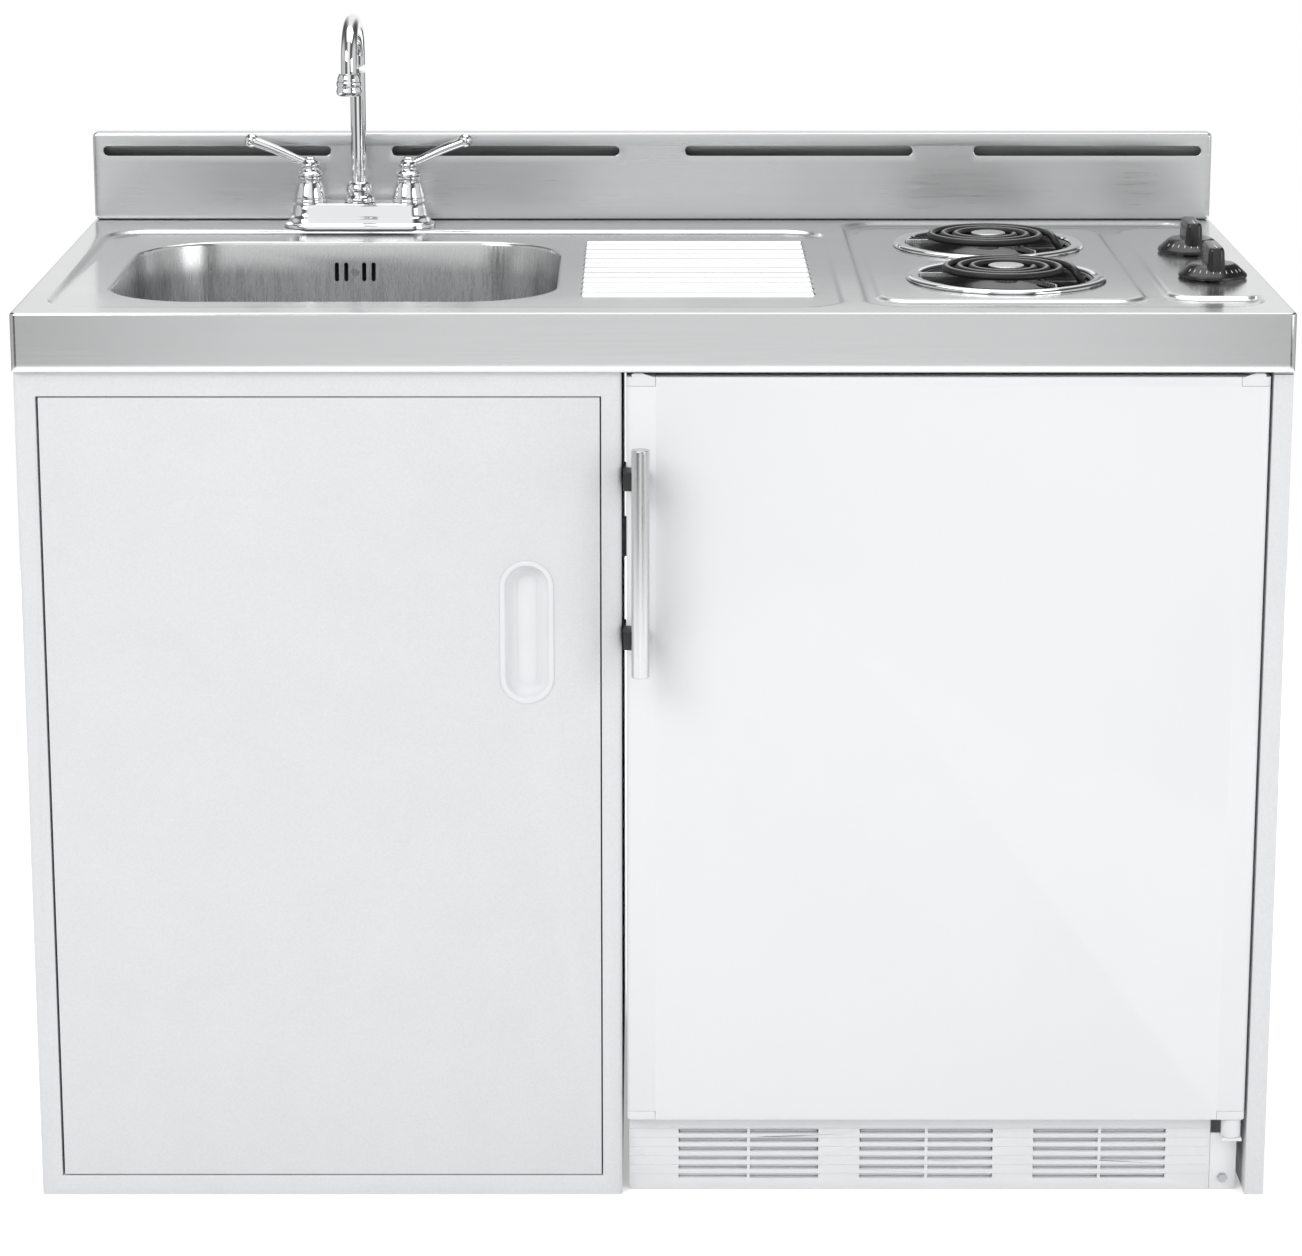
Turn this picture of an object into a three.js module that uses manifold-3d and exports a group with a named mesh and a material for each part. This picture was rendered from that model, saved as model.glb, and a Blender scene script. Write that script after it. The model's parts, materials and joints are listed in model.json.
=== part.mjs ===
// A compact kitchenette: a pressed stainless worktop with sink, tap and two electric rings over a cupboard and a fridge.
// Millimetres. x runs left to right, y front to back, z up. While modelling, y = 0 is the worktop's front face,
// x = 0 its middle and z = 0 the floor; the whole unit is then shifted to stand on the centre of its own outline.
import * as THREE from 'three';
import { mergeVertices } from 'three/addons/utils/BufferGeometryUtils.js';
import Module from 'manifold-3d';

const wasm = await Module();
wasm.setup();

// ---- driving sizes -------------------------------------------------------------------------------------------------
const clearance = 0.3; // between pieces that touch
const width = 1219.2; // worktop, side to side
const worktopTop = 892; // floor to worktop surface
const worktopDepth = 600; // front face to backguard
const backguardDepth = 20;
const backguardHeight = 95;
const topSheet = 1.5; // stainless sheet of worktop and backguard
const apronHeight = 57.3;
const apronHem = 14; // inward return along the apron's lower edge
const topEdge = 3; // rounding of the worktop's upper edge
const topCorner = 6; // vertical corners of the worktop
const half = width / 2;
const fromLeft = (x) => x - half; // places measured from the worktop's left end,
const fromRight = (x) => half - x; // from its right end
const fromBack = (y) => worktopDepth - y; // and from the backguard
const recessDepth = 4; // pressed fields of the worktop
const recessSlope = 6; // how far a pressed wall runs in

const sinkField = { x0: fromLeft(24.6), x1: fromRight(424.6), y0: 37, y1: fromBack(71), r: 45 };
const hobField = { x0: fromRight(406.6), x1: fromRight(19.6), y0: 37, y1: fromBack(13), r: 40 };
const sinkMiddle = (sinkField.y0 + sinkField.y1) / 2;
const hobMiddle = (hobField.y0 + hobField.y1) / 2;
const hobPlateau = { x0: fromRight(387.6), x1: fromRight(134.6), y0: hobMiddle - 229, y1: hobMiddle + 228, r: 28 };
const plateauHeight = 3.2;
const knobPlateau = { x0: fromRight(105.6), x1: fromRight(13.6), y0: hobMiddle - 214, y1: hobMiddle + 228, r: 26 };
const ribCount = 12;
const rib = { x0: fromLeft(537.6), x1: fromRight(449.6), y0: 130, y1: fromBack(140), width: 9, height: 2.2 };

const bowl = {
  x: fromLeft(294.1), y: sinkMiddle - 3, width: 440, depth: 376, r: 92, deep: 150, taper: 8, wall: 1.2,
  flange: 14, floorRound: 24,
};
const overflow = { z: 36, slotHeight: 20, slotWidth: 4.4, pitch: 10, gap: 19, screw: 3.2 };
const drain = { hole: 44, flange: 57, cup: 41, wall: 1.6, deep: 46, tail: 19, tailLength: 70 };
const trap = { radius: 19, bend: 48, sides: 8, drop: 70, armOut: 8 };

const tap = {
  x: fromLeft(293.6), y: fromBack(45), plateWidth: 163, plateDepth: 57, plateHigh: 12, bodyHigh: 26,
  hubSpan: 106, hubRadius: 18,
  bellHigh: 28, leverReach: 66, leverRise: 66, shankRadius: 10.2, shankLength: 52, hole: 14,
  spoutRadius: 8.2, spoutHigh: 226, spoutReach: 125, spoutTip: 172, collarRadius: 16.5, collarHigh: 22,
};

const burnerX = fromRight(257.6);
const burnerY = { front: hobMiddle - 103, rear: hobMiddle + 113 };
const ring = { outer: 100, inner: 86, high: 4.2 };
const pan = { lip: 92, wall: 1, deep: 25, floor: 62 };
const coil = { outer: 70, inner: 27, turns: 3, tube: 3.9, top: 14, steps: 24, sides: 6 };
const medallion = { radius: 18, high: 1.6 };
const armWidth = 3;
const terminal = { reach: 106, spread: 9, drop: 18, block: [26, 34, 22] };
const knobX = fromRight(51.6);
const knobY = { front: hobMiddle - 101, rear: hobMiddle + 63 };
const knob = { radius: 34, high: 32, skirt: 12, fin: 18, off: 1.5, shaft: 3.1, shaftHole: 5 };
const hobSwitch = { size: 44, high: 36, boss: 7, below: 6 };

const sideInset = 0.6; // cabinet sides behind the apron's ends
const frontInset = 6; // cabinet face behind the apron
const backInset = 22; // cabinet backs in front of the wall line
const panelSheet = 1.2;
const cabinetWidth = 578.8;
const cabinetCorner = 5;
const faceLeft = 20.7;
const faceRight = 19.3;
const faceTop = 23.6;
const faceBottom = 20.2;
const faceReturn = 18;
const doorGapHinge = 2.5;
const doorGap = 1.5;
const doorThick = 18;
const doorPin = { inX: 7, inY: 6, radius: 2.5, into: 9, play: 0.6 };
const pull = { width: 43, height: 133, fromEdge: 70.7, z: 579, deep: 13, flange: 4.5, lip: 0.8, wall: 1 };
const panelThick = 18.6;
const panelLip = 90; // inner face kept at the front of the side panel
const panelFrame = 30; // and along its other edges
const railHeight = 46;
const railDeep = 20;
const railSheet = 2;

const kickHeight = 79;
const kickInset = 16; // kick grille behind the fridge door's face
const kickThick = 8;
const kickLeft = 2;
const kickRight = 30;
const louvreTop = 64.6;
const louvrePitch = 9.47;
const louvreHigh = 5.5;
const louvreCount = 6;
const louvreSpan = 579.8; // grille that the groups are laid out on, and their places from its left end
const louvreGroups = [[49.4, 188.8], [230.1, 362.9], [403.5, 535.5]];
const louvreRib = 3;

const fridgeGapLeft = 4.7;
const fridgeGapRight = 2.8;
const fridgeFace = 4; // fridge door's face behind the apron's
const fridgeDoorTop = 4.7; // gap from the cabinet's top line down to the door
const fridgeDoorThick = 46;
const fridgeDoorRound = 5;
const capWide = 28;
const capHigh = 9;
const capRise = 3.6;
const gasketThick = 12;
const gasketWide = 14;
const gasketInset = 8;
const fridgeSideGap = 7;
const fridgeRoom = 114; // depth of the worktop that the fridge's cabinet leaves free
const fridgeDeep = worktopDepth - fridgeRoom;
const fridgeUnder = 8.7; // fridge's top below the apron's lower edge
const fridgeHigh = worktopTop - apronHeight - fridgeUnder;
const fridgeWall = 42;
const fridgeFoot = 22;
const fixingZ = 640; // tabs that tie the fridge to the cabinet and the side panel
const skin = 1.2;
const liner = 2;
const compressorBay = { high: 210, deep: 150 };
const hingePivot = { inX: 12, inY: 10.5, radius: 4, into: 16, play: 0.5 };
const hingeCap = { radius: 9.75, high: 20 };
const handle = { radius: 8.6, off: 36, length: 222.6, z: worktopTop - 236.5, fromEdge: 13.4, bracketSpan: 156,
  bracket: 18, side: 2.6 };
const shelfThick = 4;
const shelfUpperZ = fridgeHigh - 236;
const shelfLowerZ = 400;
const crisper = { high: 130, deep: 230, wall: 2, wide: width - cabinetWidth - 200.4 };
const binLip = { lower: 120, middle: 80, upper: 60 };
const dial = { radius: 17, high: 14, z: fridgeHigh - 126, y: 170 };
const compressor = { radius: 74, high: 150, x: 150, seam: 60, shoulder: 40 };
const condenser = { tube: 3, passes: 8, pitch: 58, plate: 1, off: 6 };

// ---- lines that several pieces share -------------------------------------------------------------------------------
const backPlane = worktopDepth + backguardDepth;
const apronBottom = worktopTop - apronHeight;
const shellTop = apronBottom - clearance;
const shellBack = backPlane - backInset;
const sinkFloorZ = worktopTop - recessDepth;
const hobFloorZ = worktopTop - recessDepth;
const plateauZ = hobFloorZ + plateauHeight;
const cabinetX0 = -half + sideInset;
const cabinetX1 = cabinetX0 + cabinetWidth;
const panelX1 = half - sideInset;
const panelX0 = panelX1 - panelThick;
const opening = { x0: cabinetX0 + faceLeft, x1: cabinetX1 - faceRight, z0: faceBottom, z1: shellTop - faceTop };
const door = { x0: opening.x0 + doorGapHinge, x1: opening.x1 - doorGap, z0: opening.z0 + doorGap,
  z1: opening.z1 - doorGap };
const fridgeDoor = {
  x0: cabinetX1 + fridgeGapLeft, x1: panelX0 - fridgeGapRight, z0: kickHeight + 1, z1: shellTop - fridgeDoorTop,
};
const fridgeDoorBack = fridgeFace + fridgeDoorThick;
const fridgeY0 = fridgeDoorBack + gasketThick + 2 * clearance;
const fridgeY1 = fridgeY0 + fridgeDeep;
const fridgeX0 = fridgeDoor.x0 + fridgeSideGap - 2;
const fridgeX1 = fridgeDoor.x1 - fridgeSideGap;
const pivotX = fridgeDoor.x1 - hingePivot.inX;
const pivotY = fridgeFace + hingePivot.inY;

// ---- small kit of closed forms ---------------------------------------------------------------------------------------
function closed(source) {
  const bare = new THREE.BufferGeometry();
  bare.setAttribute('position', source.getAttribute('position').clone());
  if (source.index) bare.setIndex(source.index.clone());
  const merged = mergeVertices(bare, 1e-4);
  const at = merged.getAttribute('position');
  const faces = [];
  let volume = 0;
  const a = new THREE.Vector3();
  const b = new THREE.Vector3();
  const c = new THREE.Vector3();
  for (let i = 0; i < merged.index.count; i += 3) {
    const [p, q, r] = [merged.index.getX(i), merged.index.getX(i + 1), merged.index.getX(i + 2)];
    if (p === q || q === r || r === p) continue;
    faces.push(p, q, r);
    volume += a.fromBufferAttribute(at, p).dot(b.fromBufferAttribute(at, q).cross(c.fromBufferAttribute(at, r)));
  }
  if (volume < 0) for (let i = 0; i < faces.length; i += 3) [faces[i], faces[i + 1]] = [faces[i + 1], faces[i]];
  merged.setIndex(faces);
  return merged;
}

function toManifold(source) {
  const tidy = closed(source);
  const vertProperties = new Float32Array(tidy.getAttribute('position').array);
  return new wasm.Manifold(new wasm.Mesh({ numProp: 3, vertProperties,
    triVerts: new Uint32Array(tidy.index.array) }));
}

class Body {
  constructor(first) {
    this.solid = toManifold(first);
  }
  add(...pieces) {
    for (const piece of pieces) this.solid = this.solid.add(toManifold(piece));
    return this;
  }
  cut(...pieces) {
    for (const piece of pieces) this.solid = this.solid.subtract(toManifold(piece));
    return this;
  }
  common(piece) {
    this.solid = this.solid.intersect(toManifold(piece));
    return this;
  }
  get geometry() {
    const mesh = this.solid.getMesh();
    const made = new THREE.BufferGeometry();
    const points = [];
    for (let i = 0; i < mesh.numVert; i++) points.push(...mesh.vertProperties.slice(i * mesh.numProp,
      i * mesh.numProp + 3));
    made.setAttribute('position', new THREE.Float32BufferAttribute(points, 3));
    made.setIndex([...mesh.triVerts]);
    return made;
  }
}

function block(x0, x1, y0, y1, z0, z1) {
  return new THREE.BoxGeometry(x1 - x0, y1 - y0, z1 - z0).translate((x0 + x1) / 2, (y0 + y1) / 2, (z0 + z1) / 2);
}

// the points of a rounded rectangle, counter-clockwise, at one height
function outline({ x0, x1, y0, y1, r }, z, inset = 0, steps = 4) {
  const radius = Math.max(r - inset, 0.4);
  const [a0, a1, b0, b1] = [x0 + inset + radius, x1 - inset - radius, y0 + inset + radius, y1 - inset - radius];
  const centres = [[a1, b1, 0], [a0, b1, 90], [a0, b0, 180], [a1, b0, 270]];
  return centres.flatMap(([cx, cy, start]) =>
    Array.from({ length: steps + 1 }, (_, i) => {
      const turn = THREE.MathUtils.degToRad(start + (90 * i) / steps);
      return new THREE.Vector3(cx + radius * Math.cos(turn), cy + radius * Math.sin(turn), z);
    }));
}

// joins rings of equal count into one closed form; a wrapped loft runs back to its first ring
function loft(rings, wrap = false) {
  const count = rings[0].length;
  const faces = [];
  for (let i = 0; i < (wrap ? rings.length : rings.length - 1); i++) {
    const next = (i + 1) % rings.length;
    for (let j = 0; j < count; j++) {
      const k = (j + 1) % count;
      faces.push(i * count + j, i * count + k, next * count + k, i * count + j, next * count + k, next * count + j);
    }
  }
  if (!wrap) {
    const top = (rings.length - 1) * count;
    for (let j = 1; j < count - 1; j++) faces.push(0, j + 1, j, top, top + j, top + j + 1);
  }
  const made = new THREE.BufferGeometry().setFromPoints(rings.flat());
  made.setIndex(faces);
  return closed(made);
}

// a profile of [radius, height] pairs turned round the z axis
function turned(profile, x = 0, y = 0, z = 0, steps = 24) {
  const points = profile.map(([r, h]) => new THREE.Vector2(r, h));
  return closed(new THREE.LatheGeometry(points, steps).rotateX(Math.PI / 2)).translate(x, y, z);
}

function rod(radius, x, y, z0, z1, steps = 20) {
  return turned([[0, z0], [radius, z0], [radius, z1], [0, z1]], x, y, 0, steps);
}

function washer(outer, inner, x, y, z0, z1, steps = 24) {
  return turned([[inner, z0], [outer, z0], [outer, z1], [inner, z1], [inner, z0]], x, y, 0, steps);
}

// an upright slot with round ends, cut along y
function uprightSlot(x, z, wide, high, y0, y1, steps = 5) {
  const field = { x0: x - wide / 2, x1: x + wide / 2, y0: z - high / 2, y1: z + high / 2, r: wide / 2 - 0.01 };
  return loft([outline(field, 0, 0, steps), outline(field, y1 - y0, 0, steps)]).rotateX(Math.PI / 2)
    .translate(0, y1, 0);
}

// a round bar that follows points, with radii given at its two ends
function bar(points, radiusAt, sides = 10) {
  const rings = [];
  let across = null;
  points.forEach((point, i) => {
    const before = points[Math.max(i - 1, 0)];
    const after = points[Math.min(i + 1, points.length - 1)];
    const along = new THREE.Vector3().subVectors(after, before).normalize();
    if (!across) across = Math.abs(along.x) > 0.9 ? new THREE.Vector3(0, 1, 0) : new THREE.Vector3(1, 0, 0);
    across = across.clone().addScaledVector(along, -across.dot(along)).normalize();
    const up = new THREE.Vector3().crossVectors(along, across);
    const radius = radiusAt(i / (points.length - 1));
    rings.push(Array.from({ length: sides }, (_, k) => {
      const turn = (2 * Math.PI * k) / sides;
      return point.clone().addScaledVector(across, radius * Math.cos(turn))
        .addScaledVector(up, radius * Math.sin(turn));
    }));
  });
  return loft(rings);
}

const unit = new THREE.Group();
unit.name = 'kitchenette';

const finishes = {
  steel: { color: 0xc9cdd0, roughness: 0.3, metalness: 1 },
  chrome: { color: 0xe2e4e6, roughness: 0.06, metalness: 1 },
  darkSteel: { color: 0x2a2b2d, roughness: 0.5, metalness: 0.8 },
  enamel: { color: 0x141415, roughness: 0.3, metalness: 0 },
  blackPlastic: { color: 0x0e0e0f, roughness: 0.35, metalness: 0 },
  powder: { color: 0xe6e7e9, roughness: 0.6, metalness: 0 },
  whitePaint: { color: 0xeeeff2, roughness: 0.35, metalness: 0 },
  whitePlastic: { color: 0xf0f1f4, roughness: 0.45, metalness: 0 },
  rubber: { color: 0xd8d9dc, roughness: 0.8, metalness: 0 },
  glass: { color: 0xcfe4e2, roughness: 0.05, metalness: 0 },
  brass: { color: 0xb08d57, roughness: 0.35, metalness: 1 },
  zinc: { color: 0xa9adb0, roughness: 0.45, metalness: 0.9 },
  ceramic: { color: 0xe9e4d8, roughness: 0.7, metalness: 0 },
};

function piece(name, finish, shape) {
  const geometry = shape instanceof Body ? shape.geometry : closed(shape);
  geometry.computeVertexNormals();
  const mesh = new THREE.Mesh(geometry, new THREE.MeshStandardMaterial(finishes[finish]));
  mesh.name = name;
  unit.add(mesh);
  return mesh;
}

// ---- worktop -----------------------------------------------------------------------------------------------------------
// a pressed field is a shallow dish: its outside is added under the sheet, then its inside is taken away
function dish(field, z, deep, inset = 0) {
  const reach = 0.6;
  return loft([
    outline(field, z - deep, recessSlope + inset),
    outline(field, z - 0.6, 0.9 + inset),
    outline(field, z + reach, inset),
  ]);
}

function raised(field, z, high, inset = 0) {
  return loft([
    outline(field, z - 2 * topSheet, inset - recessSlope),
    outline(field, z, inset - recessSlope),
    outline(field, z + high, inset),
  ]);
}

const footprint = { x0: -half, x1: half, y0: 0, y1: backPlane, r: topCorner };
const burners = Object.entries(burnerY).map(([place, y]) => ({ place, x: burnerX, y }));
const knobs = Object.entries(knobY).map(([place, y]) => ({ place, x: knobX, y }));
const panHole = pan.lip - 5;
const cutDeep = 20; // holes pass the sheet and its pressed fields
const bowlField = {
  x0: bowl.x - bowl.width / 2, x1: bowl.x + bowl.width / 2, y0: bowl.y - bowl.depth / 2,
  y1: bowl.y + bowl.depth / 2, r: bowl.r,
};
const innerFoot = (z, more = 0) => outline(footprint, z, topSheet + more);
const worktop = new Body(loft([
  outline(footprint, apronBottom), outline(footprint, worktopTop - topEdge),
  outline(footprint, worktopTop - topEdge * 0.3, topEdge * 0.3), outline(footprint, worktopTop, topEdge),
]));
worktop.cut(
  loft([
    innerFoot(apronBottom + topSheet), innerFoot(worktopTop - topSheet - topEdge),
    innerFoot(worktopTop - topSheet, topEdge),
  ]),
  loft([innerFoot(apronBottom - 1, apronHem), innerFoot(apronBottom + 2 * topSheet, apronHem)]),
);
worktop.add(dish(sinkField, worktopTop - topSheet, recessDepth, -topSheet),
  dish(hobField, worktopTop - topSheet, recessDepth, -topSheet));
worktop.cut(dish(sinkField, worktopTop, recessDepth), dish(hobField, worktopTop, recessDepth));
worktop.add(raised(hobPlateau, hobFloorZ, plateauHeight), raised(knobPlateau, hobFloorZ, recessDepth - 0.05));
worktop.cut(
  raised(hobPlateau, hobFloorZ - topSheet, plateauHeight, topSheet),
  raised(knobPlateau, hobFloorZ - topSheet, recessDepth, topSheet),
);
const ribPitch = (rib.y1 - rib.y0) / (ribCount - 1);
for (let i = 0; i < ribCount; i++) {
  const y = rib.y0 + i * ribPitch;
  const foot = { x0: rib.x0, x1: rib.x1, y0: y - rib.width / 2, y1: y + rib.width / 2, r: rib.width / 2 - 0.05 };
  worktop.add(loft([
    outline(foot, sinkFloorZ - topSheet / 2, 0, 1), outline(foot, sinkFloorZ, 0, 1),
    outline(foot, sinkFloorZ + rib.height, rib.width / 3, 1),
  ]));
}
worktop.cut(loft([outline(bowlField, sinkFloorZ - 4 * topSheet), outline(bowlField, sinkFloorZ - 0.8),
  outline(bowlField, worktopTop, -2)]));
for (const { x, y } of burners) worktop.cut(rod(panHole, x, y, plateauZ - cutDeep, plateauZ + 5, 28));
for (const { x, y } of knobs) worktop.cut(rod(knob.shaftHole, x, y, worktopTop - cutDeep, worktopTop + 5, 12));
const hubs = { hot: tap.x - tap.hubSpan / 2, cold: tap.x + tap.hubSpan / 2 };
for (const x of Object.values(hubs)) worktop.cut(rod(tap.hole, x, tap.y, worktopTop - cutDeep, worktopTop + 5, 16));
piece('worktop', 'steel', worktop);

// backguard: a folded channel, open below, with four vent slots in its front
const guardZ0 = worktopTop + clearance;
const guardZ1 = worktopTop + backguardHeight;
const guardX = half - 1;
const slotZ = guardZ1 - 19.6;
const slotEnd = 12.6; // from the worktop's end to the outer slot
const slotGap = 67; // between an outer and an inner slot
const slotMiddle = 72; // between the inner slots
const slotLong = (half - slotEnd - slotGap - slotMiddle / 2) / 2;
const slotHigh = 10.3;
const slotCentres = [half - slotEnd - slotLong / 2, (slotMiddle + slotLong) / 2];
const guardFace = (inset, y0, y1) => loft([
  outline({ x0: -guardX, x1: guardX, y0: guardZ0, y1: guardZ1, r: 5 }, 0, inset, 3),
  outline({ x0: -guardX, x1: guardX, y0: guardZ0, y1: guardZ1, r: 5 }, y1 - y0, inset, 3),
]).rotateX(Math.PI / 2).translate(0, y1, 0);
const guard = new Body(guardFace(0, worktopDepth, backPlane));
guard.cut(block(-guardX + topSheet, guardX - topSheet, worktopDepth + topSheet, backPlane - topSheet,
  guardZ0 - 5, guardZ1 - topSheet));
for (const centre of slotCentres) {
  for (const side of [-1, 1]) {
    const field = {
      x0: side * centre - slotLong / 2, x1: side * centre + slotLong / 2,
      y0: slotZ - slotHigh / 2, y1: slotZ + slotHigh / 2, r: slotHigh / 2 - 0.02,
    };
    guard.cut(loft([outline(field, 0, 0, 4), outline(field, 10, 0, 4)]).rotateX(Math.PI / 2)
      .translate(0, worktopDepth + 5, 0));
  }
}
piece('backguard', 'steel', guard);

// ---- sink bowl, overflow and waste ---------------------------------------------------------------------------------
const bowlTop = sinkFloorZ - topSheet - clearance;
const bowlFloorZ = sinkFloorZ - bowl.deep;
const drainField = (r) => ({ x0: bowl.x - r, x1: bowl.x + r, y0: bowl.y - r, y1: bowl.y + r, r: r - 0.02 });
const bowlWall = (z, inset) => outline(bowlField, z, inset, 5);
const w = bowl.wall;
const fr = bowl.floorRound;
const bowlShell = new Body(loft([
  bowlWall(bowlTop, -bowl.flange), bowlWall(bowlTop, 0.4),
  bowlWall(bowlFloorZ + fr, bowl.taper), bowlWall(bowlFloorZ + fr * 0.3, bowl.taper + fr * 0.3),
  bowlWall(bowlFloorZ, bowl.taper + fr),
  outline(drainField(drain.hole), bowlFloorZ - 2, 0, 5), outline(drainField(drain.hole), bowlFloorZ - 2 - w, 0, 5),
  bowlWall(bowlFloorZ - w, bowl.taper + fr), bowlWall(bowlFloorZ + fr * 0.3 - w * 0.7,
    bowl.taper + fr * 0.3 - w * 0.7),
  bowlWall(bowlFloorZ + fr, bowl.taper - w), bowlWall(bowlTop - w, -w), bowlWall(bowlTop - w, -bowl.flange),
], true));
const overflowZ = worktopTop - overflow.z;
const overflowXs = [-1, 1].flatMap((side) =>
  [0, 1].map((i) => bowl.x + side * (overflow.gap / 2 + i * overflow.pitch)));
const rearWall = bowlField.y1;
for (const x of overflowXs) bowlShell.cut(uprightSlot(x, overflowZ, overflow.slotWidth, overflow.slotHeight,
  rearWall - 20, rearWall + 8, 3));
bowlShell.cut(rod(overflow.screw, 0, 0, -20, 20, 10).rotateX(Math.PI / 2).translate(bowl.x, rearWall, overflowZ));
piece('sink_bowl', 'steel', bowlShell);

const hoodTop = overflowZ + 16;
const hoodY = rearWall + w + clearance - (bowl.taper * (bowlTop - hoodTop)) / (bowlTop - bowlFloorZ - fr);
const hood = new Body(block(bowl.x - 30, bowl.x + 30, hoodY, hoodY + 18, overflowZ - 24, hoodTop));
hood.cut(block(bowl.x - 28, bowl.x + 28, hoodY - 1, hoodY + 16, overflowZ - 22, overflowZ + 14));
hood.add(rod(9, bowl.x, hoodY + 9, overflowZ - 60, overflowZ - 23, 12))
  .cut(rod(7, bowl.x, hoodY + 9, overflowZ - 62, overflowZ - 20, 12));
piece('overflow_housing', 'blackPlastic', hood);

const strainerTop = bowlFloorZ - 2 + clearance;
const cupZ = strainerTop - drain.deep;
piece('strainer_body', 'chrome', turned([
  [drain.flange, strainerTop], [drain.flange, strainerTop + 0.6], [drain.cup + 2, strainerTop + 2.2],
  [drain.cup, strainerTop + 1],
  [drain.cup, cupZ + drain.wall], [drain.tail - drain.wall, cupZ + drain.wall],
  [drain.tail - drain.wall, cupZ - drain.tailLength], [drain.tail, cupZ - drain.tailLength], [drain.tail, cupZ],
  [drain.cup + drain.wall, cupZ], [drain.cup + drain.wall, strainerTop], [drain.flange, strainerTop],
], bowl.x, bowl.y, 0, 20));

const basketR = drain.cup - 1.2;
const basketZ = cupZ + drain.wall + clearance;
piece('strainer_basket', 'steel', new Body(turned([
  [0, basketZ], [basketR - 6, basketZ], [basketR, basketZ + 8], [basketR, strainerTop - 1],
  [basketR - 1, strainerTop - 1],
  [basketR - 1, basketZ + 8.4], [basketR - 6.4, basketZ + 1], [4, basketZ + 1], [3, basketZ + 26],
  [9, basketZ + 30], [9, basketZ + 36],
  [5, basketZ + 39], [0, basketZ + 39],
], bowl.x, bowl.y, 0, 16)));

// waste trap: inlet over the tail, a U bend, then an arm to the back
const trapTop = cupZ - drain.tailLength + 34;
const bendZ = trapTop - trap.drop - trap.bend;
const trapBore = (radius) => {
  const points = [new THREE.Vector3(bowl.x, bowl.y, trapTop)];
  for (let i = 0; i <= 8; i++) {
    const turn = Math.PI + (Math.PI * i) / 8;
    points.push(new THREE.Vector3(bowl.x, bowl.y + trap.bend + trap.bend * Math.cos(turn),
      bendZ + trap.bend * Math.sin(turn) + 1));
  }
  const rise = bendZ + 30;
  const armY = bowl.y + 2 * trap.bend;
  for (let i = 0; i <= 4; i++) {
    const turn = (Math.PI / 2) * (i / 4);
    points.push(new THREE.Vector3(bowl.x, armY + 26 * (1 - Math.cos(turn)), rise + 26 * Math.sin(turn)));
  }
  points.push(new THREE.Vector3(bowl.x, shellBack + trap.armOut, rise + 26));
  return bar(points, () => radius, trap.sides);
};
const trapOuter = drain.tail + clearance + 3.2;
piece('waste_trap', 'whitePlastic', new Body(trapBore(trapOuter))
  .add(rod(trapOuter + 5, bowl.x, bowl.y, trapTop - 22, trapTop, 12))
  .cut(trapBore(trapOuter - 2.6), rod(drain.tail + clearance, bowl.x, bowl.y, trapTop - 40, trapTop + 5, 20),
    rod(12, 0, 0, -40, 40, 12).rotateX(Math.PI / 2).translate(bowl.x, shellBack + trap.armOut, bendZ + 56)));

// ---- tap ---------------------------------------------------------------------------------------------------------------
const deck = worktopTop + clearance;
const plateField = {
  x0: tap.x - tap.plateWidth / 2, x1: tap.x + tap.plateWidth / 2,
  y0: tap.y - tap.plateDepth / 2, y1: tap.y + tap.plateDepth / 2, r: tap.plateDepth / 2 - 1,
};
const bodyTop = deck + tap.bodyHigh;
const bellTop = bodyTop + tap.bellHigh;
const tapBody = new Body(loft([
  outline(plateField, deck), outline(plateField, deck + 4), outline(plateField, deck + tap.plateHigh * 0.6, 5),
  outline(plateField, deck + tap.plateHigh, 8), outline(plateField, bodyTop - 4, 10),
  outline(plateField, bodyTop, 13),
]));
const stemRadius = 4;
const bellBore = stemRadius + clearance;
const socket = tap.spoutRadius + clearance;
for (const x of Object.values(hubs)) {
  tapBody.add(turned([
    [0, bodyTop - 5], [tap.hubRadius - 2, bodyTop - 5], [tap.hubRadius, bodyTop + 2],
    [tap.hubRadius - 1, bodyTop + 8],
    [tap.hubRadius - 4, bodyTop + 18], [tap.hubRadius - 7, bodyTop + 23], [tap.hubRadius - 5, bellTop - 3],
    [tap.hubRadius - 5, bellTop],
    [0, bellTop],
  ], x, tap.y, 0, 16));
  tapBody.cut(rod(bellBore, x, tap.y, deck + 8, bellTop + 5, 12));
  tapBody.add(washer(tap.shankRadius, tap.shankRadius - 3, x, tap.y, deck - tap.shankLength, deck + 2, 16));
}
tapBody.cut(rod(socket, tap.x, tap.y, deck + tap.plateHigh, bodyTop + 10, 16));
piece('tap_body', 'chrome', tapBody);

for (const [side, x] of Object.entries(hubs)) {
  const out = side === 'hot' ? -1 : 1;
  const foot = bellTop + clearance;
  const handleBody = new Body(turned([
    [0, foot], [13, foot], [14, foot + 2.5], [11, foot + 5], [9, foot + 9], [10.5, foot + 12], [8, foot + 16],
    [0, foot + 19],
  ], x, tap.y, 0, 14));
  const lever = [[0, 12], [0.18, 17], [0.38, 23], [0.62, 30], [0.88, 36.5], [0.97, 38.5]];
  handleBody.add(bar(
    lever.map(([reach, rise]) => new THREE.Vector3(x + out * reach * tap.leverReach, tap.y, foot + rise)),
    (t) => 4.4 + 2 * t, 8,
  ));
  handleBody.add(new THREE.SphereGeometry(7.4, 10, 6).translate(x + out * (tap.leverReach - 4), tap.y, foot + 38));
  handleBody.add(rod(stemRadius, x, tap.y, deck + 8 + clearance, foot + 1, 12));
  piece(`${side}_handle`, 'chrome', handleBody);
}

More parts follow.
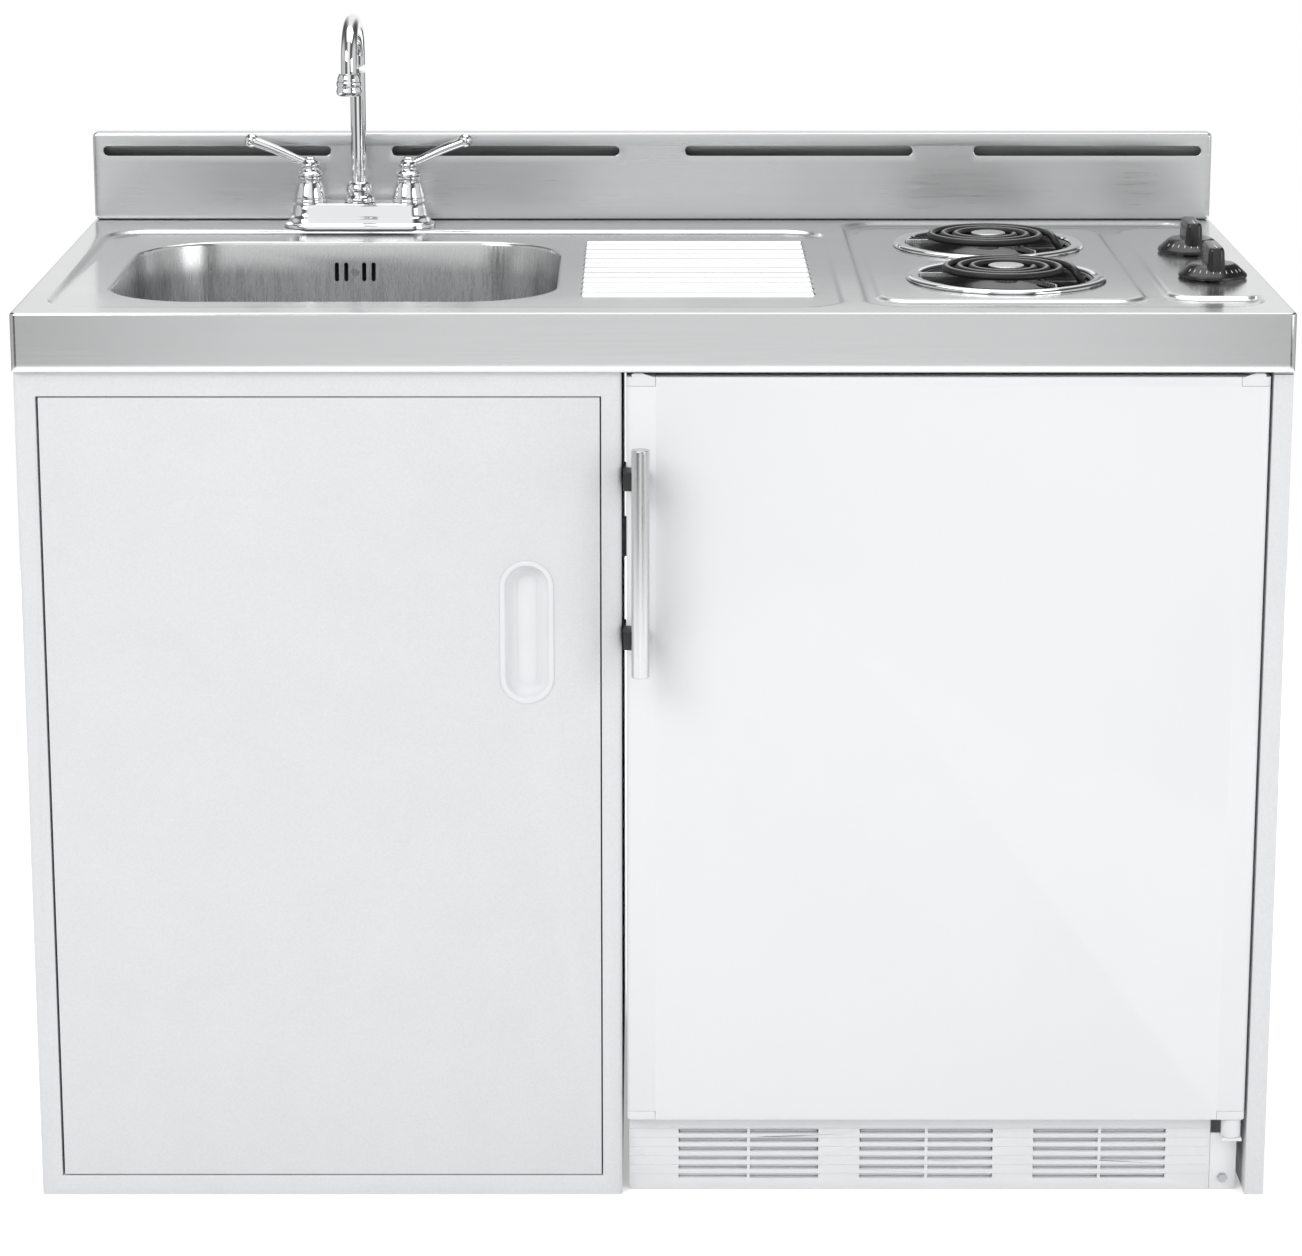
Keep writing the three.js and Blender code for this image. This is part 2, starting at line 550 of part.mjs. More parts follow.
const spoutFoot = deck + tap.plateHigh + clearance;
const archZ = deck + tap.spoutTip + 8;
const archHigh = deck + tap.spoutHigh - archZ;
const spoutPath = [new THREE.Vector3(tap.x, tap.y, spoutFoot), new THREE.Vector3(tap.x, tap.y, bodyTop + 40)];
for (let i = 0; i <= 18; i++) {
  const turn = (Math.PI * i) / 18;
  spoutPath.push(new THREE.Vector3(
    tap.x, tap.y - (tap.spoutReach / 2) * (1 - Math.cos(turn)), archZ + archHigh * Math.sin(turn) ** 0.9,
  ));
}
spoutPath.push(new THREE.Vector3(tap.x, tap.y - tap.spoutReach, deck + tap.spoutTip - 5));
const collarZ0 = bodyTop + clearance;
piece('spout', 'chrome', bar(spoutPath, () => tap.spoutRadius, 10));
piece('spout_nut', 'chrome', turned([
  [socket, collarZ0], [tap.collarRadius, collarZ0], [tap.collarRadius, collarZ0 + 4],
  [tap.collarRadius - 4, collarZ0 + 8],
  [tap.collarRadius - 2.5, collarZ0 + 12], [tap.collarRadius - 2.5, collarZ0 + 16],
  [socket + 2, collarZ0 + tap.collarHigh],
  [socket, collarZ0 + tap.collarHigh], [socket, collarZ0],
], tap.x, tap.y, 0, 16));
const tip = deck + tap.spoutTip;
piece('aerator', 'chrome', turned([
  [0, tip - 8], [10.5, tip - 8], [10.5, tip - 17], [12.5, tip - 17], [13.6, tip - 13], [12, tip - 8],
  [13, tip - 3], [11.5, tip + 3],
  [10, tip + 6], [socket, tip + 6], [socket, tip - 6], [0, tip - 6], [0, tip - 8],
], tap.x, tap.y - tap.spoutReach, 0, 16));

// ---- electric rings ------------------------------------------------------------------------------------------------
// the element: one tube that winds in from the terminal at the right and ends beside the medallion
function elementPath(x, y, z) {
  const points = [];
  const total = coil.turns * coil.steps;
  for (let i = 0; i <= total; i++) {
    const turn = (2 * Math.PI * i) / coil.steps;
    const radius = coil.outer - coil.tube - ((coil.outer - coil.tube - coil.inner) * i) / total;
    points.push(new THREE.Vector3(x + radius * Math.cos(turn), y + radius * Math.sin(turn), z));
  }
  const inner = points[points.length - 1];
  const low = z - terminal.drop;
  points.push(new THREE.Vector3(inner.x + 1.5, inner.y + 7, z - terminal.drop * 0.25));
  points.push(new THREE.Vector3(inner.x + 5, inner.y + 9.5, z - terminal.drop * 0.8));
  points.push(new THREE.Vector3(inner.x + 14, y + terminal.spread, low));
  points.push(new THREE.Vector3(x + coil.outer + 4, y + terminal.spread, low));
  points.push(new THREE.Vector3(x + terminal.reach, y + terminal.spread, low));
  const start = points[0];
  points.unshift(
    new THREE.Vector3(x + terminal.reach, y - terminal.spread, low),
    new THREE.Vector3(x + coil.outer + 12, y - terminal.spread, low),
    new THREE.Vector3(x + coil.outer + 4, y - terminal.spread, z - terminal.drop * 0.7),
    new THREE.Vector3(start.x + 3.5, y - terminal.spread + 0.5, z - terminal.drop * 0.25),
  );
  return points;
}

function leastSelfGap(points, tube) {
  let least = Infinity;
  for (let i = 0; i < points.length; i++) {
    let run = 0;
    for (let j = i + 1; j < points.length; j++) {
      run += points[j].distanceTo(points[j - 1]);
      if (run > 6 * tube) least = Math.min(least, points[i].distanceTo(points[j]) - 2 * tube);
    }
  }
  return least;
}

for (const { place, x, y } of burners) {
  const rimZ = plateauZ + pan.wall + 2 * clearance;
  const top = plateauZ + coil.top;
  const elementZ = top - coil.tube;
  const path = elementPath(x, y, elementZ);
  console.log(`${place} coil element: least gap to itself ${leastSelfGap(path, coil.tube).toFixed(2)} mm`);
  piece(`${place}_coil_element`, 'darkSteel', bar(path, () => coil.tube, coil.sides));

  piece(`${place}_trim_ring`, 'chrome', turned([
    [ring.outer - 0.9, plateauZ + clearance], [ring.outer, plateauZ + clearance], [ring.outer, plateauZ + 1.8],
    [ring.outer - 3, plateauZ + ring.high], [ring.inner + 2, plateauZ + ring.high], [ring.inner, rimZ + clearance],
    [ring.inner + 3, plateauZ + ring.high - 0.9], [ring.outer - 3.4, plateauZ + ring.high - 0.9],
    [ring.outer - 0.9, plateauZ + clearance],
  ], x, y, 0, 28));

  const bowlR = panHole - 1.2;
  const panZ = plateauZ - pan.deep;
  const dripBowl = new Body(turned([
    [pan.lip, plateauZ + clearance], [pan.lip, rimZ - clearance], [bowlR - 2, rimZ - clearance],
    [bowlR - 2, plateauZ - 8],
    [pan.floor, panZ + pan.wall], [14, panZ + pan.wall], [14, panZ], [pan.floor + 1, panZ],
    [bowlR - 1, plateauZ - 8.5], [bowlR - 1, plateauZ + clearance], [pan.lip, plateauZ + clearance],
  ], x, y, 0, 24));
  const prongZ = elementZ - terminal.drop;
  dripBowl.cut(block(x + pan.floor + 6, x + bowlR + 1.5, y - terminal.spread - 7, y + terminal.spread + 7,
    prongZ - 6.5, plateauZ - 1));
  piece(`${place}_drip_bowl`, 'enamel', dripBowl);

  // three arms under the element, with the medallion on their hub
  const armZ1 = top - 2 * coil.tube - clearance;
  const support = new Body(turned([
    [0, armZ1 - 9], [medallion.radius - 6, armZ1 - 9], [medallion.radius - 6, top - medallion.high],
    [medallion.radius, top - medallion.high],
    [medallion.radius, top - 0.4], [medallion.radius - 1, top], [0, top],
  ], x, y, 0, 20));
  for (const angle of [60, 180, 300]) {
    const turn = THREE.MathUtils.degToRad(angle);
    const arm = block(medallion.radius - 8, ring.inner - 0.5, -armWidth / 2, armWidth / 2, rimZ, armZ1);
    support.add(arm.rotateZ(turn).translate(x, y, 0));
  }
  support.cut(bar(path.slice(-5), () => coil.tube + 0.8, 8));
  piece(`${place}_coil_support`, 'zinc', support);

  const [long, wide, high] = terminal.block;
  const blockX0 = x + panHole + 3;
  const socketHigh = coil.tube * 2 + 6;
  const terminalBlock = new Body(block(blockX0, blockX0 + long, y - wide / 2, y + wide / 2, prongZ - high / 2,
    plateauZ - topSheet - clearance));
  terminalBlock.cut(block(blockX0 - 1, x + terminal.reach + 2, y - terminal.spread - 5.5,
    y + terminal.spread + 5.5, prongZ - socketHigh / 2, prongZ + 5.6));
  piece(`${place}_terminal_block`, 'ceramic', terminalBlock);
}

for (const { place, x, y } of knobs) {
  const plateTop = worktopTop - 0.05;
  const base = plateTop + knob.off;
  const knobBody = new Body(turned([
    [0, base + 2], [knob.radius - 3, base + 2], [knob.radius - 1, base], [knob.radius, base],
    [knob.radius, base + 2.5],
    [knob.radius - 10, base + knob.skirt], [knob.radius - 14, base + knob.skirt + 2], [0, base + knob.skirt + 2],
  ], x, y, 0, 24));
  const fin = { x0: x - knob.fin / 2, x1: x + knob.fin / 2, y0: y - knob.radius + 6, y1: y + knob.radius - 6,
    r: 6 };
  knobBody.add(loft([
    outline(fin, base + 3, 0, 3), outline(fin, base + knob.high - 4, 1, 3), outline(fin, base + knob.high, 4, 3),
  ]));
  knobBody.add(rod(knob.shaftHole - 0.8 + 3, x, y, base + 0.4, base + 3, 12));
  knobBody.cut(rod(knob.shaft + clearance, x, y, base - 5, base + 14, 12));
  piece(`${place}_knob`, 'blackPlastic', knobBody);

  const underside = worktopTop - topSheet - clearance;
  const bodyZ1 = underside - hobSwitch.below + 5.7;
  piece(`${place}_infinite_switch`, 'zinc', new Body(block(
    x - hobSwitch.size / 2, x + hobSwitch.size / 2, y - hobSwitch.size / 2, y + hobSwitch.size / 2,
    bodyZ1 - hobSwitch.high, bodyZ1,
  )).cut(rod(knob.shaft + clearance, x, y, bodyZ1 - 16, bodyZ1 + 5, 12)));
  piece(`${place}_switch_shaft`, 'zinc', rod(knob.shaft, x, y, bodyZ1 - 16 + clearance, base + 14 - clearance, 12));
}

// ---- cupboard ------------------------------------------------------------------------------------------------------
const shellFoot = { x0: cabinetX0, x1: cabinetX1, y0: frontInset, y1: shellBack, r: cabinetCorner };
const rearLip = 15;
const pins = {
  x: door.x0 + doorPin.inX, y: frontInset + doorPin.inY, hole: doorPin.radius + clearance,
  head: doorPin.radius + 1.8,
};
const { x0: ox0, x1: ox1, z0: oz0, z1: oz1 } = opening;
const shell = new Body(loft([outline(shellFoot, 0), outline(shellFoot, shellTop)]));
shell.add(block(cabinetX0, cabinetX1, shellBack - 30, shellBack, 0, shellTop));
shell.cut(
  loft([outline(shellFoot, -1, panelSheet), outline(shellFoot, shellTop + 1, panelSheet)]),
  block(cabinetX0 + panelSheet, cabinetX1 - panelSheet, shellBack - 40, shellBack - panelSheet, -1, shellTop + 1),
);
shell.cut(block(cabinetX0 + rearLip, cabinetX1 - rearLip, shellBack - 10, shellBack + 5, -1, shellTop + 1));
const faceBack = frontInset + faceReturn;
shell.add(block(ox0 - panelSheet, ox1 + panelSheet, frontInset + 0.2, faceBack, oz0 - panelSheet,
  oz1 + panelSheet));
shell.cut(block(ox0, ox1, frontInset - 5, faceBack + 5, oz0, oz1));
shell.cut(rod(pins.hole, pins.x, pins.y, oz0 - 8, oz0 + 5, 12),
  rod(pins.hole, pins.x, pins.y, oz1 - 5, oz1 + 8, 12));
piece('cabinet_shell', 'powder', shell);

const insideX = [cabinetX0 + panelSheet + clearance, cabinetX1 - panelSheet - clearance];
const backY1 = shellBack - panelSheet - clearance;
const floorY0 = faceBack + clearance;
const floorY1 = backY1 - panelSheet - clearance;
piece('cabinet_floor', 'powder', new Body(block(...insideX, floorY0, floorY1, 0.5, oz0))
  .cut(block(insideX[0] + panelSheet, insideX[1] - panelSheet, floorY0 + panelSheet, floorY1 - panelSheet, -1,
    oz0 - panelSheet)));

const armZ = bendZ + 56;
piece('cabinet_back', 'powder', new Body(block(...insideX, backY1 - panelSheet, backY1, 0.5, shellTop))
  .cut(block(bowl.x - 130, bowl.x + 130, backY1 - 10, backY1 + 5, armZ - 70, armZ + 170)));

piece('right_side_panel', 'powder', new Body(block(panelX0, panelX1, frontInset, shellBack, 0, shellTop))
  .cut(
    block(panelX0 + panelSheet, panelX1 - panelSheet, frontInset + panelSheet, shellBack - panelSheet,
      panelSheet, shellTop - panelSheet),
    block(panelX0 - 1, panelX0 + 3, frontInset + panelLip, shellBack - panelFrame, panelFrame,
      shellTop - panelFrame),
  ));

piece('rear_rail', 'zinc', new Body(
  block(cabinetX1 + clearance, panelX0 - clearance, shellBack - railDeep, shellBack, shellTop - railHeight,
    shellTop),
).cut(block(
  cabinetX1 - 1, panelX0 + 1, shellBack - railDeep + railSheet, shellBack + 1,
  shellTop - railHeight + railSheet, shellTop - railSheet,
)));

const doorY1 = frontInset + doorThick;
const pullX = door.x1 - pull.fromEdge;
const pullField = {
  x0: pullX - pull.width / 2, x1: pullX + pull.width / 2, y0: pull.z - pull.height / 2,
  y1: pull.z + pull.height / 2, r: pull.width / 2 - 0.05,
};
const facing = (rings) => loft(rings).rotateX(Math.PI / 2).translate(0, frontInset, 0);
const doorLip = 14;
const cupboardDoor = new Body(block(door.x0, door.x1, frontInset, doorY1, door.z0, door.z1));
cupboardDoor.cut(
  block(door.x0 + panelSheet, door.x1 - panelSheet, frontInset + panelSheet, doorY1 - panelSheet,
    door.z0 + panelSheet, door.z1 - panelSheet),
  block(door.x0 + doorLip, door.x1 - doorLip, doorY1 - 5, doorY1 + 5, door.z0 + doorLip, door.z1 - doorLip),
  facing([outline(pullField, -6, -clearance), outline(pullField, 6, -clearance)]),
  rod(doorPin.radius + doorPin.play, pins.x, pins.y, door.z0 - 1, door.z0 + 5, 12),
  rod(doorPin.radius + doorPin.play, pins.x, pins.y, door.z1 - 5, door.z1 + 1, 12),
);
piece('cabinet_door', 'powder', cupboardDoor);
piece('pull_cup', 'whitePlastic', new Body(facing([
  outline(pullField, clearance, -pull.flange), outline(pullField, clearance + pull.lip, -pull.flange + 0.5),
])).add(facing([outline(pullField, -pull.deep, 6), outline(pullField, -pull.deep + 4, 1.5),
  outline(pullField, clearance + 0.2)]))
  .cut(facing([
    outline(pullField, -pull.deep + pull.wall, 6 + pull.wall),
    outline(pullField, -pull.deep + 4 + pull.wall, 1.5 + pull.wall),
    outline(pullField, clearance + 2, pull.wall),
  ])));
piece('hinge_pin_upper', 'zinc', new Body(rod(doorPin.radius, pins.x, pins.y, door.z1 - doorPin.into,
  oz1 + panelSheet + clearance + 1, 12))
  .add(rod(pins.head, pins.x, pins.y, oz1 + panelSheet + clearance, oz1 + panelSheet + clearance + 2, 12)));
piece('hinge_pin_lower', 'zinc', new Body(rod(doorPin.radius, pins.x, pins.y, oz0 - panelSheet - clearance - 1,
  door.z0 + doorPin.into, 12))
  .add(rod(pins.head, pins.x, pins.y, oz0 - panelSheet - clearance - 2, oz0 - panelSheet - clearance, 12)));

// ---- fridge --------------------------------------------------------------------------------------------------------
const bayY0 = fridgeY1 - compressorBay.deep;
const cavity = {
  x0: fridgeX0 + fridgeWall, x1: fridgeX1 - fridgeWall, z0: fridgeFoot + 95, z1: fridgeHigh - fridgeWall,
  step: compressorBay.high + fridgeWall, y1: fridgeY1 - fridgeWall, stepY: bayY0 - fridgeWall,
};
const steppedBox = (inset, front) => [
  block(cavity.x0 + inset, cavity.x1 - inset, front, cavity.y1 - inset, cavity.step + inset, cavity.z1 - inset),
  block(cavity.x0 + inset, cavity.x1 - inset, front, cavity.stepY - inset, cavity.z0 + inset,
    cavity.step + inset + 1),
];
const fridge = new Body(block(fridgeX0, fridgeX1, fridgeY0, fridgeY1, fridgeFoot, fridgeHigh));
fridge.cut(
  block(fridgeX0 + skin, fridgeX1 - skin, fridgeY0 + skin, fridgeY1 - skin, compressorBay.high + skin,
    fridgeHigh - skin),
  block(fridgeX0 + skin, fridgeX1 - skin, fridgeY0 + skin, bayY0 - skin, fridgeFoot + 2,
    compressorBay.high + skin + 1),
  block(fridgeX0 + skin, fridgeX1 - skin, bayY0, fridgeY1 + 5, fridgeFoot + 2, compressorBay.high),
  block(cavity.x0, cavity.x1, fridgeY0 - 5, fridgeY0 + 5, cavity.z0, cavity.z1),
);
const footInset = 40;
for (const x of [fridgeX0 + footInset, fridgeX1 - footInset]) {
  for (const y of [fridgeY0 + 20 + footInset, fridgeY1 - footInset]) {
    fridge.add(rod(16, x, y, 0, fridgeFoot + 1, 12));
  }
}
for (const [x0, x1] of [[cabinetX1 + clearance, fridgeX0 + 0.5], [fridgeX1 - 0.5, panelX0 - clearance]]) {
  fridge.add(block(x0, x1, fridgeY0 + 4, fridgeY0 + 7, fixingZ, fixingZ + 40));
}
piece('fridge_cabinet', 'whitePaint', fridge);

const linerFront = fridgeY0;
const linerBody = new Body(steppedBox(clearance, linerFront)[0]).add(steppedBox(clearance, linerFront)[1]);
linerBody.cut(...steppedBox(liner + clearance, linerFront - 5));
const linerX = [cavity.x0 + liner + clearance, cavity.x1 - liner - clearance];
const railWide = 8;
const shelfDepths = { upper: cavity.y1 - liner - clearance, lower: cavity.y1 - liner - clearance };
const shelfFront = fridgeY0 + 100;
const shelves = { upper: shelfUpperZ, lower: shelfLowerZ };
for (const [level, z] of Object.entries(shelves)) {
  for (const [x0, x1] of [[linerX[0] - 0.5, linerX[0] + railWide], [linerX[1] - railWide, linerX[1] + 0.5]]) {
    linerBody.add(block(x0, x1, shelfFront, shelfDepths[level] + 0.5, z - 6, z));
  }
}
piece('fridge_liner', 'whitePlastic', linerBody);
for (const [level, z] of Object.entries(shelves)) {
  piece(`${level}_shelf`, 'glass', block(linerX[0] + 1, linerX[1] - 1, shelfFront, shelfDepths[level] - 1,
    z + clearance, z + clearance + shelfThick));
}
const binX = (linerX[0] + linerX[1] - crisper.wide) / 2;
const crisperZ = cavity.z0 + liner + 2 * clearance;
const crisperY0 = shelfFront + 4;
const crisperY1 = Math.min(crisperY0 + crisper.deep, cavity.stepY - liner - 2);
piece('crisper', 'whitePlastic', new Body(block(binX, binX + crisper.wide, crisperY0, crisperY1, crisperZ,
  crisperZ + crisper.high))
  .cut(block(binX + crisper.wall, binX + crisper.wide - crisper.wall, crisperY0 + crisper.wall,
    crisperY1 - crisper.wall, crisperZ + crisper.wall, crisperZ + crisper.high + 5)));
piece('thermostat_dial', 'whitePlastic', turned([
  [0, 0], [dial.radius, 0], [dial.radius, 4], [dial.radius - 5, 6], [dial.radius - 6, dial.high], [0, dial.high],
], 0, 0, 0, 20).rotateY(-Math.PI / 2).translate(linerX[1] - clearance, dial.y + fridgeY0 / 2, dial.z));

piece('compressor', 'enamel', turned([
  [0, 0], [compressor.radius * 0.8, 0], [compressor.radius - 12, 8], [compressor.radius - 12, compressor.seam],
  [compressor.radius - 8, compressor.seam + 2], [compressor.radius - 8, compressor.seam + 6],
  [compressor.radius - 12, compressor.seam + 8],
  [compressor.radius - 14, compressor.high - compressor.shoulder],
  [compressor.radius - 30, compressor.high - 14], [compressor.radius - 54, compressor.high], [0, compressor.high],
], compressor.x, (bayY0 + fridgeY1) / 2, fridgeFoot + 2 + clearance, 16));

const platesZ0 = compressorBay.high + 40;
const grid = { x0: fridgeX0 + 50, x1: fridgeX1 - 50, z0: platesZ0, y: fridgeY1 + condenser.off };
const gridBody = new Body(block(grid.x0, grid.x1, grid.y, grid.y + condenser.plate, grid.z0 - 20,
  grid.z0 + condenser.pitch * condenser.passes));
const run = [];
for (let i = 0; i < condenser.passes; i++) {
  const z = grid.z0 + i * condenser.pitch;
  const [from, to] = i % 2 ? [grid.x1 - 40, grid.x0 + 40] : [grid.x0 + 40, grid.x1 - 40];
  run.push(new THREE.Vector3(from, grid.y + condenser.plate + condenser.tube * 0.7, z));
  run.push(new THREE.Vector3(to, grid.y + condenser.plate + condenser.tube * 0.7, z));
  if (i < condenser.passes - 1) {
    const side = i % 2 ? -1 : 1;
    for (const k of [-45, 0, 45]) {
      const turn = THREE.MathUtils.degToRad(k);
      run.push(new THREE.Vector3(
        to + side * (condenser.pitch / 2) * Math.cos(turn), grid.y + condenser.plate + condenser.tube * 0.7,
        z + condenser.pitch / 2 + (condenser.pitch / 2) * Math.sin(turn),
      ));
    }
  }
}
gridBody.add(bar(run, () => condenser.tube, 6));
for (const x of [grid.x0 + 15, grid.x1 - 15]) {
  for (const z of [grid.z0, grid.z0 + condenser.pitch * (condenser.passes - 1)]) {
    gridBody.add(block(x - 8, x + 8, fridgeY1 + clearance, grid.y + 0.5, z - 8, z + 8));
  }
}
piece('condenser', 'darkSteel', gridBody);

// door: painted skin with a plastic cap at each corner, a liner with bins, and a gasket
const slab = { x0: fridgeDoor.x0, x1: fridgeDoor.x1, y0: fridgeFace, y1: fridgeDoorBack, r: fridgeDoorRound };
const slabBack = fridgeDoorBack - liner - clearance;
const { x0: dx0, x1: dx1, z0: dz0, z1: dz1 } = fridgeDoor;
const corners = [
  { name: 'upper_left', left: true, upper: true }, { name: 'upper_right', left: false, upper: true },
  { name: 'lower_left', left: true, upper: false }, { name: 'lower_right', left: false, upper: false },
];
const fridgeSkin = new Body(loft([outline(slab, dz0), outline(slab, dz1)]));
fridgeSkin.cut(block(dx0 + 2, dx1 - 2, fridgeFace + 2, fridgeDoorBack + 5, dz0 + 2, dz1 - 2));
for (const { left, upper } of corners) {
  const [x0, x1] = left ? [dx0 - 5, dx0 + capWide] : [dx1 - capWide, dx1 + 5];
  const [z0, z1] = upper ? [dz1 - capHigh, dz1 + 5] : [dz0 - 5, dz0 + capHigh];
  fridgeSkin.cut(block(x0, x1, fridgeFace - 5, fridgeDoorBack + 5, z0, z1));
}
piece('fridge_door', 'whitePaint', fridgeSkin);

for (const { name, left, upper } of corners) {
  const edge = left ? dx0 : dx1;
  const inward = left ? 1 : -1;
  const rise = upper ? capRise : 0;
  const [z0, z1] = upper ? [dz1 - capHigh + clearance, dz1] : [dz0, dz0 + capHigh - clearance];
  const cap = new Body(loft([outline(slab, z0), outline(slab, z1)]));
  const [x0, x1] = left ? [dx0 - 5, dx0 + capWide - clearance] : [dx1 - capWide + clearance, dx1 + 5];
  cap.common(block(x0, x1, fridgeFace - 5, slabBack, z0 - 5, z1 + 5));
  if (rise) {
    const wedge = new THREE.Shape([[5, -2], [capWide - 1, -2], [capWide - 4, 0.6], [15, rise], [8, rise],
      [5, rise - 0.8]]
      .map(([u, v]) => new THREE.Vector2(u, v)));
    const ridge = new THREE.ExtrudeGeometry(wedge, { depth: 3, bevelEnabled: false });
    ridge.rotateX(Math.PI / 2).scale(inward, 1, 1).translate(edge, fridgeFace + 3, z1);
    cap.add(ridge);
  }
  if (!left) {
    const [b0, b1] = upper ? [dz1 - hingePivot.into, dz1 + 5] : [dz0 - 5, dz0 + hingePivot.into];
    cap.cut(rod(hingePivot.radius + hingePivot.play, pivotX, pivotY, b0, b1, 16));
  }
  piece(`door_cap_${name}`, 'whitePlastic', cap);
}

const gx0 = dx0 + gasketInset;
const gx1 = dx1 - gasketInset;
const gz0 = dz0 + gasketInset;
const gz1 = dz1 - gasketInset;
const gy0 = fridgeDoorBack + clearance;
piece('door_gasket', 'rubber', new Body(block(gx0, gx1, gy0, gy0 + gasketThick, gz0, gz1))
  .cut(block(gx0 + gasketWide, gx1 - gasketWide, gy0 - 5, gy0 + gasketThick + 5, gz0 + gasketWide,
    gz1 - gasketWide)));

const dike = { x0: cavity.x0 + 20, x1: cavity.x1 - 20, deep: gasketThick + 66, wall: 9, z0: cavity.z0 + 20,
  z1: cavity.z1 - 20 };
const dikeY = fridgeDoorBack + dike.deep;
const doorLiner = new Body(block(dx0 + 2 + clearance, dx1 - 2 - clearance, slabBack + clearance, fridgeDoorBack,
  dz0 + capHigh + 2, dz1 - capHigh - 2));
for (const x of [dike.x0, dike.x1 - dike.wall]) {
  doorLiner.add(block(x, x + dike.wall, fridgeDoorBack - 1, dikeY, dike.z0, dike.z1));
}
const bins = [
  { z: dike.z0, lip: binLip.lower }, { z: shelfLowerZ - 40, lip: binLip.middle },
  { z: shelfUpperZ - 30, lip: binLip.upper },
];
for (const { z, lip } of bins) {
  doorLiner.add(block(dike.x0 + 1, dike.x1 - 1, fridgeDoorBack - 1, dikeY, z, z + 3));
  doorLiner.add(block(dike.x0 + 1, dike.x1 - 1, dikeY - 3, dikeY, z, z + lip));
}
piece('door_liner', 'whitePlastic', doorLiner);

// handle: a steel tube on two black brackets that grip the door's left edge
const barX = dx0 + handle.fromEdge;
const barY = fridgeFace - handle.off;
piece('handle_bar', 'steel', rod(handle.radius, barX, barY, handle.z - handle.length / 2,
  handle.z + handle.length / 2, 20));
for (const [name, side] of [['upper', 1], ['lower', -1]]) {
  const z = handle.z + (side * handle.bracketSpan) / 2;
  const [z0, z1] = [z - handle.bracket / 2, z + handle.bracket / 2];
  const outerX = dx0 - clearance - handle.side;
  piece(`handle_bracket_${name}`, 'blackPlastic', new Body(
    block(outerX, barX + 5, barY + handle.radius + clearance, fridgeFace - clearance, z0, z1),
  ).add(block(outerX, dx0 - clearance, fridgeFace - 1, fridgeFace + 26, z0, z1)));
}

// hinges: the lower leaf carries a capped pin; the upper plate reaches over the door from the fridge's top
const leafZ = dz0 - hingeCap.high - clearance;
const leaf = { left: 19, right: 7.4, thick: 3, reach: 10 };
const kickY0 = fridgeFace + kickInset;
const bracketX = [pivotX - leaf.left, pivotX + leaf.right];
piece('lower_hinge_bracket', 'whitePaint', new Body(block(...bracketX, kickY0, kickY0 + leaf.thick, 0.5, leafZ))
  .add(block(pivotX - 10, pivotX + 10, pivotY - 9.5, kickY0 + leaf.thick, leafZ - leaf.thick, leafZ))
  .add(block(...bracketX, kickY0, fridgeY0 + 60, fridgeFoot - clearance - leaf.thick, fridgeFoot - clearance)));
piece('lower_hinge_pin', 'whitePlastic', turned([
  [0, leafZ + clearance], [hingeCap.radius, leafZ + clearance], [hingeCap.radius, dz0 - clearance],
  [hingePivot.radius, dz0 - clearance],
  [hingePivot.radius, dz0 + capHigh - 1], [0, dz0 + capHigh - 1],
], pivotX, pivotY, 0, 20));
const plateZ = dz1 + clearance;
const strap = block(0, 62, -5.5, 5.5, 0, 2).rotateZ(THREE.MathUtils.degToRad(130))
  .translate(pivotX, pivotY, plateZ);
piece('upper_hinge', 'zinc', new Body(rod(5.5, pivotX, pivotY, plateZ, plateZ + 2, 16))
  .add(strap, block(pivotX - 90, pivotX - 25, fridgeY0 + 2, fridgeY0 + 40, fridgeHigh + clearance, plateZ + 2))
  .add(block(pivotX - 60, pivotX - 20, fridgeY0 - 10, fridgeY0 + 10, plateZ, plateZ + 2))
  .add(rod(hingePivot.radius, pivotX, pivotY, dz1 - capHigh + 2, plateZ + 1, 16)));

// kick grille: three groups of louvre slots, each group split by a rib
const kickX0 = cabinetX1 + fridgeGapLeft + kickLeft;
const kickX1 = pivotX - leaf.left - clearance;
const grille = new Body(block(kickX0, kickX1, kickY0, kickY0 + kickThick, 0.5, kickHeight));
const louvreScale = (kickX1 - kickX0) / louvreSpan;
for (const [from, to] of louvreGroups.map((ends) => ends.map((x) => x * louvreScale))) {
  const middle = (from + to) / 2;
  for (const [a, b] of [[from, middle - louvreRib / 2], [middle + louvreRib / 2, to]]) {
    for (let i = 0; i < louvreCount; i++) {
      const z1 = louvreTop - i * louvrePitch;
      grille.cut(block(kickX0 + a, kickX0 + b, kickY0 - 5, kickY0 + kickThick + 5, z1 - louvreHigh, z1));
    }
  }
}
for (const x of [kickX0 + 24, kickX1 - 24]) {
  grille.add(block(x - 10, x + 10, kickY0 + kickThick - 1, fridgeY0 - clearance, 34, 60));
}
piece('kick_grille', 'whitePlastic', grille);

// the unit stands on z = 0 with the middle of its outline over the origin
const frontMost = barY - handle.radius;
unit.position.set(0, -(backPlane + frontMost) / 2, 0);

export default unit;
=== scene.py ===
"""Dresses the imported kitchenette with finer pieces, node materials, a plain studio and a camera."""

import json
import math

import bmesh
import bpy
import numpy as np
from mathutils import Matrix, Vector
from mathutils.geometry import delaunay_2d_cdt

